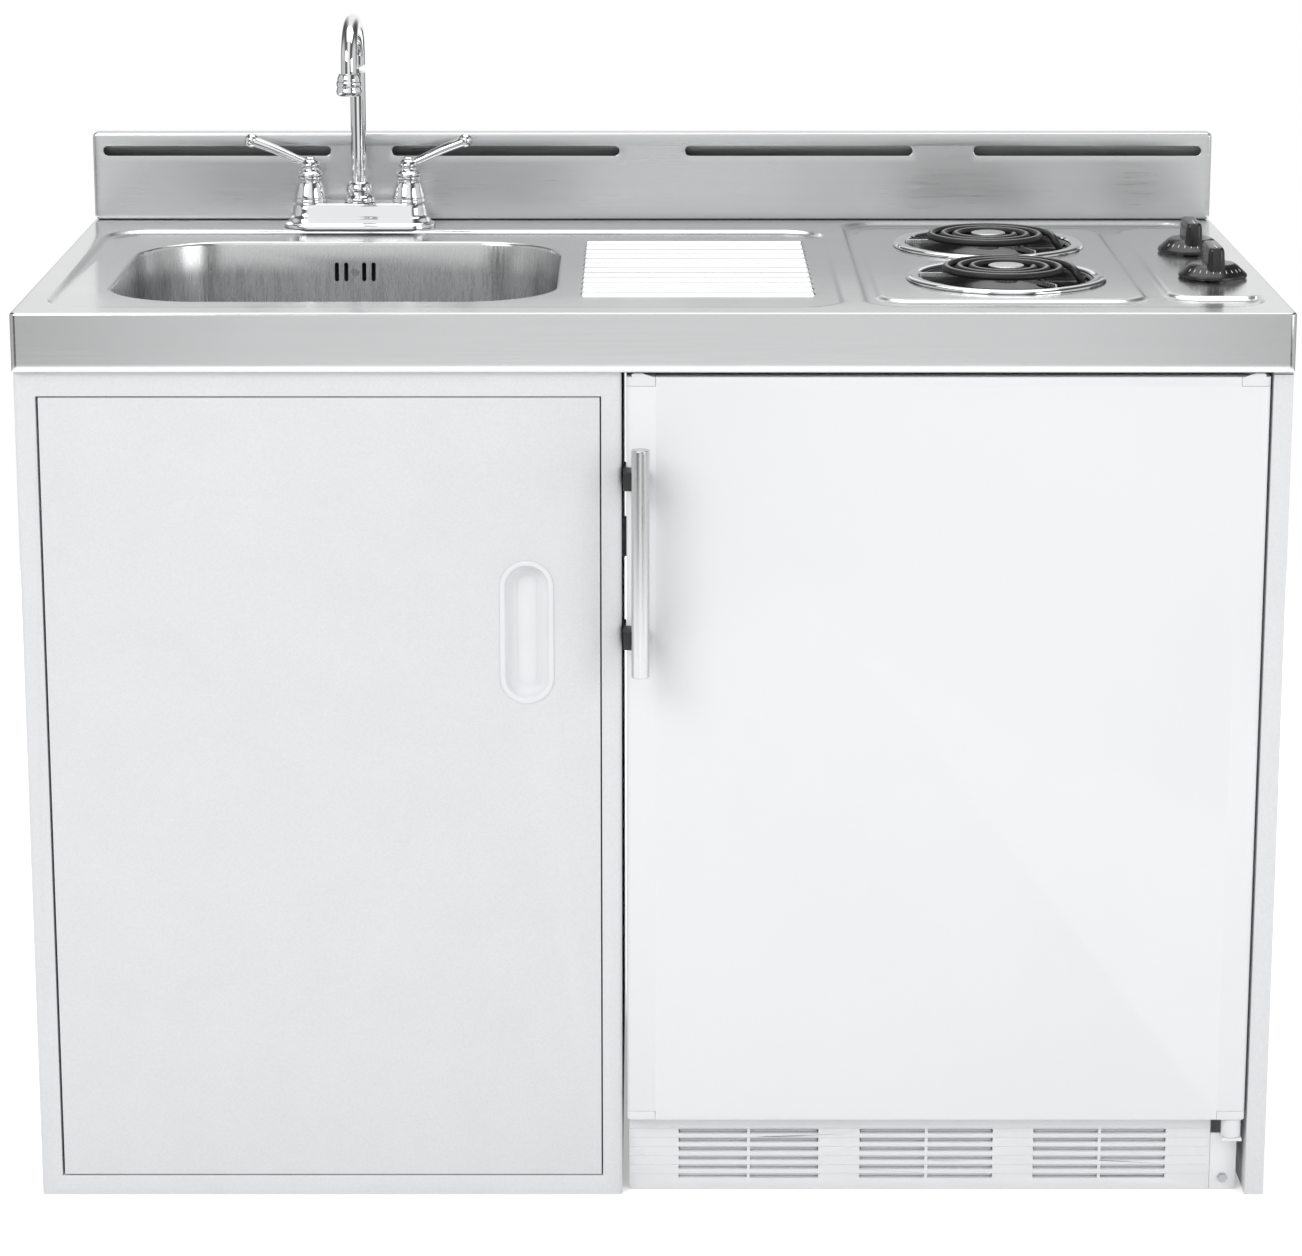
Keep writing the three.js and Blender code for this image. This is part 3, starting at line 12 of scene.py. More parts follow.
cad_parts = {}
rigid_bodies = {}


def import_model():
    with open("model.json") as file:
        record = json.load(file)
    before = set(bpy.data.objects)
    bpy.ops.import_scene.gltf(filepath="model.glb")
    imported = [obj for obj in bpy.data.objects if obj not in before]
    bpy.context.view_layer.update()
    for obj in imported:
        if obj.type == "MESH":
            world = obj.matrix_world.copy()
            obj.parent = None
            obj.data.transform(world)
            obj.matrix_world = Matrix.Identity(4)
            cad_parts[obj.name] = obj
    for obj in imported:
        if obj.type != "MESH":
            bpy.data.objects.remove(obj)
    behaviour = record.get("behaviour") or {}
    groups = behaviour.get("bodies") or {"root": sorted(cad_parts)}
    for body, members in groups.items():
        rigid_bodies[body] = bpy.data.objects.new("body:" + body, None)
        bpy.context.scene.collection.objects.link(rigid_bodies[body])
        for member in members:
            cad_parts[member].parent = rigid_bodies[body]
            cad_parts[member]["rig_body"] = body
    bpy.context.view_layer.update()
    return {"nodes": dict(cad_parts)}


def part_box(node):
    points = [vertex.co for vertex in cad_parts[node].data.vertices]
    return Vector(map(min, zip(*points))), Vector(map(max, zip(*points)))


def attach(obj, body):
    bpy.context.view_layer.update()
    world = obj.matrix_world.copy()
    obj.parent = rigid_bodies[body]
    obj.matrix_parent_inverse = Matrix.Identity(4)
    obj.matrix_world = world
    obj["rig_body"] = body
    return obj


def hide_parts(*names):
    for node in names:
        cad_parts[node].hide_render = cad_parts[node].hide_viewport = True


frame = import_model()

bl_info = {
    "name": "Kitchenette Dressing",
    "version": (1, 0, 0),
    "blender": (4, 5, 0),
    "location": "3D View > Sidebar > Kitchenette",
    "description": "Builds the finer pieces and finishes of a kitchenette with sink, rings and fridge",
    "category": "Object",
}

MM = 0.001


def span(node):
    """Lowest and highest corner of a CAD node in millimetres."""
    low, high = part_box(node)
    return low / MM, high / MM


TOP_LOW, TOP_HIGH = span("worktop")
FRONT = TOP_LOW.y  # the apron's face
COUNTER = TOP_HIGH.z  # the worktop's surface


# ---- sizes and colours a user would change -------------------------------------------------------
def length(name, description, default, **more):
    return bpy.props.FloatProperty(name=name, description=description, default=default, min=0.0, **more)


def tint(name, description, default):
    return bpy.props.FloatVectorProperty(
        name=name, description=description, default=default, size=3, min=0.0, max=1.0, subtype="COLOR"
    )


class WorktopSizes(bpy.types.PropertyGroup):
    recess: length("Recess", "How deep the sink and hob fields are pressed, in mm", 4.0)
    plateau: length("Ring platform", "How far the ring platform rises from the hob field, in mm", 3.2)
    rib_height: length("Rib height", "Height of the drainer ribs, in mm", 2.2)
    rib_count: bpy.props.IntProperty(name="Ribs", description="Number of drainer ribs", default=12, min=2,
        max=30)
    edge: length("Edge", "Rounding of the worktop's upper edge, in mm", 3.0)
    sheet: length("Sheet", "Thickness of the stainless sheet, in mm", 1.0)
    fine: length("Fine step", "Point spacing on the pressed slopes, in mm", 2.4)


class SinkSizes(bpy.types.PropertyGroup):
    depth: length("Bowl depth", "Depth of the bowl below the sink field, in mm", 150.0)
    corner: length("Bowl corner", "Radius of the bowl's upright corners, in mm", 92.0)
    taper: length("Taper", "How far the walls run in towards the floor, in mm", 8.0)
    floor_round: length("Floor rounding", "Radius between wall and floor, in mm", 24.0)
    wall: length("Wall", "Sheet thickness of the bowl, in mm", 1.0)


class TapSizes(bpy.types.PropertyGroup):
    spout_radius: length("Spout radius", "Radius of the gooseneck's tube, in mm", 8.2)
    lever_radius: length("Lever radius", "Radius of a lever at its hub, in mm", 4.4)
    ball_radius: length("Lever ball", "Radius of the ball at a lever's end, in mm", 7.4)


class RingSizes(bpy.types.PropertyGroup):
    tube: length("Tube radius", "Radius of the heater's tube, in mm", 3.9)
    flat: length("Flattening", "How much of the tube's radius is pressed flat on top, 0 to 1", 0.22, max=1.0)
    turns: length("Turns", "Turns of each coil", 3.0)
    outer: length("Outer radius", "Outer radius of each coil, in mm", 70.0)
    inner: length("Inner radius", "Radius at which the coil ends, in mm", 27.0)


class KnobSizes(bpy.types.PropertyGroup):
    skirt: length("Skirt radius", "Radius of the knob's skirt, in mm", 34.0)
    fin: length("Grip width", "Width of the grip bar, in mm", 18.0)
    marks: bpy.props.IntProperty(name="Marks", description="Scale marks round the skirt", default=10, min=1,
        max=60)


class DoorSizes(bpy.types.PropertyGroup):
    edge: length("Edge", "Rounding of folded sheet edges, in mm", 1.2)
    fridge_round: length("Fridge door rounding", "Radius of the fridge door's upright edges, in mm", 6.0)
    slat_tilt: bpy.props.FloatProperty(
        name="Louvre tilt", description="Tilt of the blades behind the grille's slots",
        default=math.radians(32), subtype="ANGLE"
    )


class FinishColours(bpy.types.PropertyGroup):
    steel: tint("Steel", "Brushed stainless steel", (0.62, 0.625, 0.63))
    chrome: tint("Chrome", "Plated tap and trim", (0.82, 0.825, 0.835))
    powder: tint("Powder coat", "Textured coat of the cupboard", (0.74, 0.75, 0.765))
    paint: tint("Fridge paint", "Paint of the fridge", (0.82, 0.825, 0.84))
    plastic: tint("White plastic", "Mouldings of the fridge and grille", (0.80, 0.805, 0.82))
    black: tint("Black plastic", "Knobs", (0.012, 0.012, 0.013))
    enamel: tint("Enamel", "Drip bowls", (0.008, 0.008, 0.009))


class StageSettings(bpy.types.PropertyGroup):
    key: bpy.props.FloatProperty(name="Key light", description="Power of the large soft lamp", default=87.0,
        unit="POWER")
    fill: bpy.props.FloatProperty(name="Fill light", description="Power of the fill lamps", default=38.0,
        unit="POWER")
    ambient: bpy.props.FloatProperty(name="Ambient", description="Strength of the world's light",
        default=0.68)
    floor_lift: bpy.props.FloatProperty(name="Floor lift",
        description="White added to the floor for the camera", default=0.4)


GROUPS = {
    "worktop": WorktopSizes, "sink": SinkSizes, "tap": TapSizes, "rings": RingSizes, "knobs": KnobSizes,
    "doors": DoorSizes, "colours": FinishColours, "stage": StageSettings,
}


def sizes(group):
    return getattr(bpy.context.scene, f"kitchenette_{group}")


# ---- forms: every function returns points or faces in millimetres --------------------------------
class Field:
    """A rounded rectangle."""

    def __init__(self, x0, x1, y0, y1, r):
        self.x0, self.x1, self.y0, self.y1, self.r = x0, x1, y0, y1, r

    def outline(self, inset=0.0, steps=12):
        r = max(self.r - inset, 0.05)
        x0, x1, y0, y1 = self.x0 + inset + r, self.x1 - inset - r, self.y0 + inset + r, self.y1 - inset - r
        points = []
        for i, (cx, cy) in enumerate([(x1, y1), (x0, y1), (x0, y0), (x1, y0)]):
            for k in range(steps + 1):
                turn = math.pi / 2 * (i + k / steps)
                points.append((cx + r * math.cos(turn), cy + r * math.sin(turn)))
        return np.array(points)

    def distance(self, x, y):
        """Signed distance to the outline, negative inside."""
        cx, cy = (self.x0 + self.x1) / 2, (self.y0 + self.y1) / 2
        hx, hy = (self.x1 - self.x0) / 2 - self.r, (self.y1 - self.y0) / 2 - self.r
        dx, dy = np.abs(x - cx) - hx, np.abs(y - cy) - hy
        return np.hypot(np.maximum(dx, 0), np.maximum(dy, 0)) + np.minimum(np.maximum(dx, dy), 0) - self.r


def level(outline, z):
    return np.column_stack([outline, np.full(len(outline), z)])


def loft(rings, wrap=False, caps=True):
    """Quads between rings of equal count; the ends are filled unless the form wraps round."""
    n = len(rings[0])
    points = np.concatenate(rings)
    faces = []
    pairs = [(i, i + 1) for i in range(len(rings) - 1)] + ([(len(rings) - 1, 0)] if wrap else [])
    for a, b in pairs:
        for k in range(n):
            m = (k + 1) % n
            faces.append((a * n + k, a * n + m, b * n + m, b * n + k))
    if caps and not wrap:
        faces.append(tuple(reversed(range(n))))
        faces.append(tuple((len(rings) - 1) * n + k for k in range(n)))
    return points, faces


def turned(profile, sides=72):
    """A lathe form about the Z axis from (radius, height) points; points on the axis become poles."""
    closed = np.allclose(profile[0], profile[-1])
    profile = profile[:-1] if closed else profile
    turn = np.linspace(0, 2 * math.pi, sides, endpoint=False)
    points, rows = [], []
    for r, z in profile:
        if r < 1e-6:
            rows.append([len(points)] * sides)
            points.append((0.0, 0.0, z))
        else:
            rows.append(list(range(len(points), len(points) + sides)))
            points.extend((r * math.cos(t), r * math.sin(t), z) for t in turn)
    faces = []
    for i in range(len(rows) if closed else len(rows) - 1):
        a, b = rows[i], rows[(i + 1) % len(rows)]
        for k in range(sides):
            m = (k + 1) % sides
            face = list(dict.fromkeys((a[k], a[m], b[m], b[k])))
            if len(face) > 2:
                faces.append(tuple(face))
    return np.array(points), faces


def eased(profile, radius, steps=3):
    """The profile with its corners rounded as far as their sides allow."""
    closed = np.allclose(profile[0], profile[-1])
    points = [np.array(p, float) for p in (profile[:-1] if closed else profile)]
    n = len(points)
    out = []
    for i, p in enumerate(points):
        if not closed and i in (0, n - 1):
            out.append(tuple(p))
            continue
        a, b = points[i - 1] - p, points[(i + 1) % n] - p
        la, lb = np.linalg.norm(a), np.linalg.norm(b)
        cut = min(radius, 0.45 * la, 0.45 * lb)
        if cut < 0.03:
            out.append(tuple(p))
            continue
        start, end = p + a / la * cut, p + b / lb * cut
        for k in range(steps + 1):
            t = k / steps
            out.append(tuple((1 - t) ** 2 * start + 2 * t * (1 - t) * p + t**2 * end))
    if closed:
        out.append(out[0])
    return out


def flowing(points, per=6):
    """A smooth curve through the points."""
    p = np.array(points, float)
    p = np.vstack([2 * p[0] - p[1], p, 2 * p[-1] - p[-2]])
    out = []
    for i in range(1, len(p) - 2):
        for k in range(per):
            t = k / per
            out.append(0.5 * (2 * p[i] + (p[i + 1] - p[i - 1]) * t
                + (2 * p[i - 1] - 5 * p[i] + 4 * p[i + 1] - p[i + 2]) * t**2
                              + (3 * p[i] - p[i - 1] - 3 * p[i + 1] + p[i + 2]) * t**3))
    out.append(p[-2])
    return np.array(out)


def moved(form, by=(0, 0, 0), turn=None):
    points, faces = form
    points = np.array(points, float)
    if turn is not None:
        points = points @ np.array(turn.to_3x3()).T
    return points + np.array(by, float), faces


def together(*forms):
    points, faces, base = [], [], 0
    for p, f in forms:
        points.append(np.array(p, float))
        faces.extend(tuple(v + base for v in face) for face in f)
        base += len(p)
    return np.concatenate(points), faces


def box_form(x0, x1, y0, y1, z0, z1, corner=0.6, steps=3):
    """A block whose upright edges are round and whose ends are eased."""
    field = Field(x0, x1, y0, y1, corner)
    e = corner * 0.6
    return loft([
        level(field.outline(e, steps), z0), level(field.outline(0, steps), z0 + e),
        level(field.outline(0, steps), z1 - e), level(field.outline(e, steps), z1),
    ])


# ---- pieces --------------------------------------------------------------------------------------
def mesh_of(name, form, angle=40.0, merge=0.0):
    points, faces = form
    mesh = bpy.data.meshes.new(name)
    mesh.from_pydata([tuple(p) for p in np.array(points, float) * MM], [],
        [tuple(int(v) for v in f) for f in faces])
    bm = bmesh.new()
    bm.from_mesh(mesh)
    if merge:
        bmesh.ops.remove_doubles(bm, verts=bm.verts, dist=merge * MM)
    bmesh.ops.recalc_face_normals(bm, faces=bm.faces)
    bm.to_mesh(mesh)
    bm.free()
    smooth(mesh, angle)
    return mesh


def smooth(mesh, angle=40.0):
    mesh.polygons.foreach_set("use_smooth", np.ones(len(mesh.polygons), bool))
    mesh.set_sharp_from_angle(angle=math.radians(angle))


def body_for(node):
    return frame["nodes"][node]["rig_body"]


def piece(name, mesh, body, finish, stands_for=()):
    """Puts a mesh on a body with its finish, in place of the CAD nodes it stands for."""
    shape = bpy.data.objects.new(name, mesh)
    bpy.context.scene.collection.objects.link(shape)
    mesh.materials.clear()
    mesh.materials.append(finish)
    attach(shape, body)
    if stands_for:
        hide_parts(*stands_for)
    return shape


def settled(mesh, *steps):
    """The mesh after its modifiers, each a (type, settings) pair."""
    holder = bpy.data.objects.new("holder", mesh)
    bpy.context.scene.collection.objects.link(holder)
    for kind, settings in steps:
        modifier = holder.modifiers.new(kind.lower(), kind)
        for key, value in settings.items():
            setattr(modifier, key, value)
    result = bpy.data.meshes.new_from_object(holder.evaluated_get(bpy.context.evaluated_depsgraph_get()))
    bpy.data.objects.remove(holder)
    return result


def eased_copy(node, width, segments=2, angle=30.0, shading=35.0, pierced=False):
    """A merged copy of a CAD node with its sharp edges rounded."""
    bm = bmesh.new()
    bm.from_mesh(frame["nodes"][node].data)
    bmesh.ops.remove_doubles(bm, verts=bm.verts, dist=2e-6)
    if not pierced:
        bmesh.ops.dissolve_limit(bm, angle_limit=math.radians(0.5), verts=bm.verts, edges=bm.edges)
    mesh = bpy.data.meshes.new(node)
    bm.to_mesh(mesh)
    bm.free()
    mesh.materials.clear()
    if width:
        mesh = settled(mesh, ("BEVEL", {
            "width": width * MM, "segments": segments, "limit_method": "ANGLE",
            "angle_limit": math.radians(angle),
            "use_clamp_overlap": True, "miter_outer": "MITER_ARC",
        }))
    smooth(mesh, shading)
    return mesh


def dress(node, finish, slot, width=0.6, name=None, **more):
    return piece(name or f"{node}_dressed", eased_copy(node, width, **more), body_for(node), finish,
        (node,))


# ---- growths: Geometry Nodes for what repeats or follows a path ----------------------------------
class Growth:
    """A Geometry Nodes tree with named inputs that ends in Realize Instances and Set Material."""

    def __init__(self, name, inputs):
        self.tree = bpy.data.node_groups.new(name, "GeometryNodeTree")
        face = self.tree.interface
        face.new_socket("Geometry", in_out="INPUT", socket_type="NodeSocketGeometry")
        self.ids = {}
        for label, kind, default in inputs:
            socket = face.new_socket(label, in_out="INPUT", socket_type=f"NodeSocket{kind}")
            socket.default_value = default
            self.ids[label] = socket.identifier
        self.ids["Finish"] = face.new_socket("Finish", in_out="INPUT",
            socket_type="NodeSocketMaterial").identifier
        face.new_socket("Geometry", in_out="OUTPUT", socket_type="NodeSocketGeometry")
        self.inputs = self.tree.nodes.new("NodeGroupInput").outputs
        self.exit = self.tree.nodes.new("NodeGroupOutput")

    def add(self, kind, inputs=None, **settings):
        node = self.tree.nodes.new(kind)
        for key, value in settings.items():
            setattr(node, key, value)
        for key, value in (inputs or {}).items():
            if isinstance(value, bpy.types.NodeSocket):
                self.tree.links.new(value, node.inputs[key])
            else:
                node.inputs[key].default_value = value
        return node

    def close(self, geometry):
        real = self.add("GeometryNodeRealizeInstances", {"Geometry": geometry})
        dressed = self.add("GeometryNodeSetMaterial",
            {"Geometry": real.outputs[0], "Material": self.inputs["Finish"]})
        self.tree.links.new(dressed.outputs[0], self.exit.inputs[0])
        return self

    def grow(self, points, edges, finish, values, angle=40.0):
        """The plain mesh that grows from points (and the edges between them), all in millimetres."""
        base = bpy.data.meshes.new("base")
        base.from_pydata([tuple(p) for p in np.array(points, float) * MM], edges, [])
        holder = bpy.data.objects.new("holder", base)
        bpy.context.scene.collection.objects.link(holder)
        modifier = holder.modifiers.new("growth", "NODES")
        modifier.node_group = self.tree
        for label, value in values.items():
            modifier[self.ids[label]] = value
        modifier[self.ids["Finish"]] = finish
        result = bpy.data.meshes.new_from_object(holder.evaluated_get(bpy.context.evaluated_depsgraph_get()))
        holder.modifiers.remove(modifier)
        bpy.data.objects.remove(holder)
        smooth(result, angle)
        return result


def tube_growth():
    """A round tube along a path, which can be pressed flat on its upper side."""
    g = Growth("tube", [("Radius", "Float", 0.004), ("Flat", "Float", 0.0), ("Sides", "Int", 20)])
    path = g.add("GeometryNodeMeshToCurve", {"Mesh": g.inputs["Geometry"]})
    upright = g.add("GeometryNodeSetCurveNormal", {"Curve": path.outputs[0]})
    if hasattr(upright, "mode"):
        upright.mode = "Z_UP"
    else:
        upright.inputs["Mode"].default_value = "Z Up"
    section = g.add("GeometryNodeCurvePrimitiveCircle",
        {"Resolution": g.inputs["Sides"], "Radius": g.inputs["Radius"]})
    place = g.add("GeometryNodeInputPosition")
    parts = g.add("ShaderNodeSeparateXYZ", {"Vector": place.outputs[0]})
    trim = g.add("ShaderNodeMath", {0: 1.0, 1: g.inputs["Flat"]}, operation="SUBTRACT")
    limit = g.add("ShaderNodeMath", {0: g.inputs["Radius"], 1: trim.outputs[0]}, operation="MULTIPLY")
    low = g.add("ShaderNodeMath", {0: parts.outputs["Y"], 1: limit.outputs[0]}, operation="MINIMUM")
    pressed = g.add("ShaderNodeCombineXYZ",
        {"X": parts.outputs["X"], "Y": low.outputs[0], "Z": parts.outputs["Z"]})
    shaped = g.add("GeometryNodeSetPosition",
        {"Geometry": section.outputs[0], "Position": pressed.outputs[0]})
    tube = g.add("GeometryNodeCurveToMesh",
        {"Curve": upright.outputs[0], "Profile Curve": shaped.outputs[0], "Fill Caps": True})
    return g.close(tube.outputs[0])


def tube_mesh(points, radius, finish, flat=0.0, sides=20):
    edges = [(i, i + 1) for i in range(len(points) - 1)]
    return GROWTHS["tube"].grow(points, edges, finish, {"Radius": radius * MM, "Flat": flat, "Sides": sides})


def stud_growth():
    """Small turned heads, each on a point: a low drum with a domed top, tilted by two angles."""
    g = Growth("stud", [("Radius", "Float", 0.003), ("Height", "Float", 0.002),
        ("Tilt", "Rotation", (0.0, 0.0, 0.0)),
                        ("Sides", "Int", 24)])
    drum = g.add("GeometryNodeMeshCylinder",
        {"Vertices": g.inputs["Sides"], "Radius": g.inputs["Radius"], "Depth": g.inputs["Height"]})
    cap = g.add("ShaderNodeMath", {0: g.inputs["Radius"], 1: 0.8}, operation="MULTIPLY")
    crown = g.add("GeometryNodeMeshCylinder", {
        "Vertices": g.inputs["Sides"], "Radius": cap.outputs[0], "Depth": g.inputs["Height"],
    })
    lift = g.add("ShaderNodeMath", {0: g.inputs["Height"], 1: 0.3}, operation="MULTIPLY")
    up = g.add("ShaderNodeCombineXYZ", {"Z": lift.outputs[0]})
    raised = g.add("GeometryNodeTransform", {"Geometry": crown.outputs[0], "Translation": up.outputs[0]})
    head = g.add("GeometryNodeJoinGeometry")
    g.tree.links.new(drum.outputs[0], head.inputs[0])
    g.tree.links.new(raised.outputs[0], head.inputs[0])
    dots = g.add("GeometryNodeMeshToPoints", {"Mesh": g.inputs["Geometry"]})
    many = g.add("GeometryNodeInstanceOnPoints", {
        "Points": dots.outputs[0], "Instance": head.outputs[0], "Rotation": g.inputs["Tilt"],
    })
    return g.close(many.outputs[0])


def bar_growth():
    """Equal bars, one on each point, for louvre blades, grid wires and scale marks."""
    g = Growth("bar", [("Size", "Vector", (0.01, 0.001, 0.001)), ("Tilt", "Rotation", (0.0, 0.0, 0.0))])
    block = g.add("GeometryNodeMeshCube", {"Size": g.inputs["Size"]})
    dots = g.add("GeometryNodeMeshToPoints", {"Mesh": g.inputs["Geometry"]})
    many = g.add("GeometryNodeInstanceOnPoints", {
        "Points": dots.outputs[0], "Instance": block.outputs[0], "Rotation": g.inputs["Tilt"],
    })
    return g.close(many.outputs[0])


def dial_growth():
    """Marks set round a dial: count, radius, first and last angle, each mark turned to point outwards."""
    g = Growth("dial", [("Count", "Int", 10), ("Reach", "Float", 0.03), ("From", "Float", 0.0),
        ("To", "Float", 6.0),
                        ("Size", "Vector", (0.004, 0.0008, 0.0003)), ("Slope", "Float", 0.0)])
    mark = g.add("GeometryNodeMeshCube", {"Size": g.inputs["Size"]})
    row = g.add("GeometryNodePoints", {"Count": g.inputs["Count"]})
    index = g.add("GeometryNodeInputIndex")
    steps = g.add("ShaderNodeMath", {0: g.inputs["Count"], 1: 1.0}, operation="SUBTRACT")
    part = g.add("ShaderNodeMath", {0: index.outputs[0], 1: steps.outputs[0]}, operation="DIVIDE")
    turn = g.add("ShaderNodeMapRange", {"Value": part.outputs[0], 3: g.inputs["From"], 4: g.inputs["To"]})
    cos = g.add("ShaderNodeMath", {0: turn.outputs[0]}, operation="COSINE")
    sin = g.add("ShaderNodeMath", {0: turn.outputs[0]}, operation="SINE")
    ax = g.add("ShaderNodeMath", {0: cos.outputs[0], 1: g.inputs["Reach"]}, operation="MULTIPLY")
    ay = g.add("ShaderNodeMath", {0: sin.outputs[0], 1: g.inputs["Reach"]}, operation="MULTIPLY")
    spot = g.add("ShaderNodeCombineXYZ", {"X": ax.outputs[0], "Y": ay.outputs[0]})
    placed = g.add("GeometryNodeSetPosition", {"Geometry": row.outputs[0], "Position": spot.outputs[0]})
    lean = g.add("ShaderNodeCombineXYZ", {"Y": g.inputs["Slope"], "Z": turn.outputs[0]})
    many = g.add("GeometryNodeInstanceOnPoints", {
        "Points": placed.outputs[0], "Instance": mark.outputs[0], "Rotation": lean.outputs[0],
    })
    where = g.add("GeometryNodeMeshToPoints", {"Mesh": g.inputs["Geometry"]})
    real = g.add("GeometryNodeRealizeInstances", {"Geometry": many.outputs[0]})
    each = g.add("GeometryNodeInstanceOnPoints", {"Points": where.outputs[0], "Instance": real.outputs[0]})
    return g.close(each.outputs[0])


GROWTHS = {}


# ---- finishes ------------------------------------------------------------------------------------
class Finish:
    """A node material built on the Principled shader, with patterns on Object coordinates in metres."""

    def __init__(self, name, colour, **plain):
        self.material = bpy.data.materials.new(name)
        self.material.use_nodes = True
        self.tree = self.material.node_tree
        self.shader = self.tree.nodes["Principled BSDF"]
        self.colour = (*colour, 1.0)
        self.shader.inputs["Base Color"].default_value = self.colour
        self.material.diffuse_color = self.colour
        for key, value in plain.items():
            self.shader.inputs[key.replace("_", " ").title().replace("Ior", "IOR")].default_value = value
        self.place = self.add("ShaderNodeTexCoord").outputs["Object"]
        self.normal = None

    def add(self, kind, inputs=None, **settings):
        node = self.tree.nodes.new(kind)
        for key, value in settings.items():
            setattr(node, key, value)
        for key, value in (inputs or {}).items():
            if isinstance(value, bpy.types.NodeSocket):
                self.tree.links.new(value, node.inputs[key])
            else:
                node.inputs[key].default_value = value
        return node

    def noise(self, grain, detail=3.0, roughness=0.55, stretch=(1, 1, 1)):
        """Noise whose features are about grain millimetres across, stretched along the axes."""
        scale = [1.0 / (grain * MM * s) for s in stretch]
        mapped = self.add("ShaderNodeMapping", {"Vector": self.place, "Scale": scale})
        return self.add("ShaderNodeTexNoise", {
            "Vector": mapped.outputs[0], "Scale": 1.0, "Detail": detail, "Roughness": roughness,
        }).outputs[0]

    def cells(self, grain, feature="F1"):
        mapped = self.add("ShaderNodeMapping", {"Vector": self.place, "Scale": [1.0 / (grain * MM)] * 3})
        return self.add("ShaderNodeTexVoronoi", {"Vector": mapped.outputs[0], "Scale": 1.0}, feature=feature)

    def spread(self, value, low, high, start=0.3, end=0.7):
        return self.add("ShaderNodeMapRange", {0: value, 1: start, 2: end, 3: low, 4: high}).outputs[0]

    def mix(self, factor, a, b):
        return self.add("ShaderNodeMix", {0: factor, 6: a, 7: b}, data_type="RGBA").outputs[2]

    def shade(self, value, low, high, start=0.3, end=0.7):
        """The base colour times a factor that runs from low to high."""
        factor = self.spread(value, 0.0, 1.0, start, end)
        before = self.shader.inputs["Base Color"]
        source = before.links[0].from_socket if before.links else self.colour
        dark = self.mix_by(source, low)
        bright = self.mix_by(source, high)
        self.set("Base Color", self.mix(factor, dark, bright))

    def mix_by(self, source, factor):
        if isinstance(source, bpy.types.NodeSocket):
            return self.add("ShaderNodeMix", {0: 1.0, 6: source, 7: (factor, factor, factor, 1.0)},
                data_type="RGBA", blend_type="MULTIPLY").outputs[2]
        return tuple(min(c * factor, 1.0) for c in source[:3]) + (1.0,)

    def bump(self, height, strength, depth):
        """A relief of depth millimetres, added to the reliefs before it."""
        inputs = {"Strength": strength, "Distance": depth * MM, "Height": height}
        if self.normal is not None:
            inputs["Normal"] = self.normal
        self.normal = self.add("ShaderNodeBump", inputs).outputs[0]
        self.set("Normal", self.normal)

    def set(self, socket, value):
        self.tree.links.new(value, self.shader.inputs[socket])


def brushed(name, colour, low, high, along=(60, 1, 1), grain=0.9, **plain):
    """Brushed metal: fine streaks along one axis, faint clouds of polish, small smudges. The streaks' tone
    is brushed grain, and where they run upright on the bowl it also paints reflection bands.
    """
    f = Finish(name, colour, metallic=1.0, **plain)
    streaks = f.noise(grain, 4.0, 0.65, along)
    broad_grain_and_painted_bands = f.noise(grain * 6, 2.0, 0.5, along)
    clouds = f.noise(150, 3.0)
    f.shade(streaks, 0.975, 1.015)
    f.shade(broad_grain_and_painted_bands, 0.99, 1.005)
    rough = f.add("ShaderNodeMath", {0: f.spread(streaks, low, high), 1: f.spread(clouds, -0.025, 0.035)},
        operation="ADD")
    f.set("Roughness", rough.outputs[0])
    f.bump(streaks, 0.03, 0.03)
    return f.material


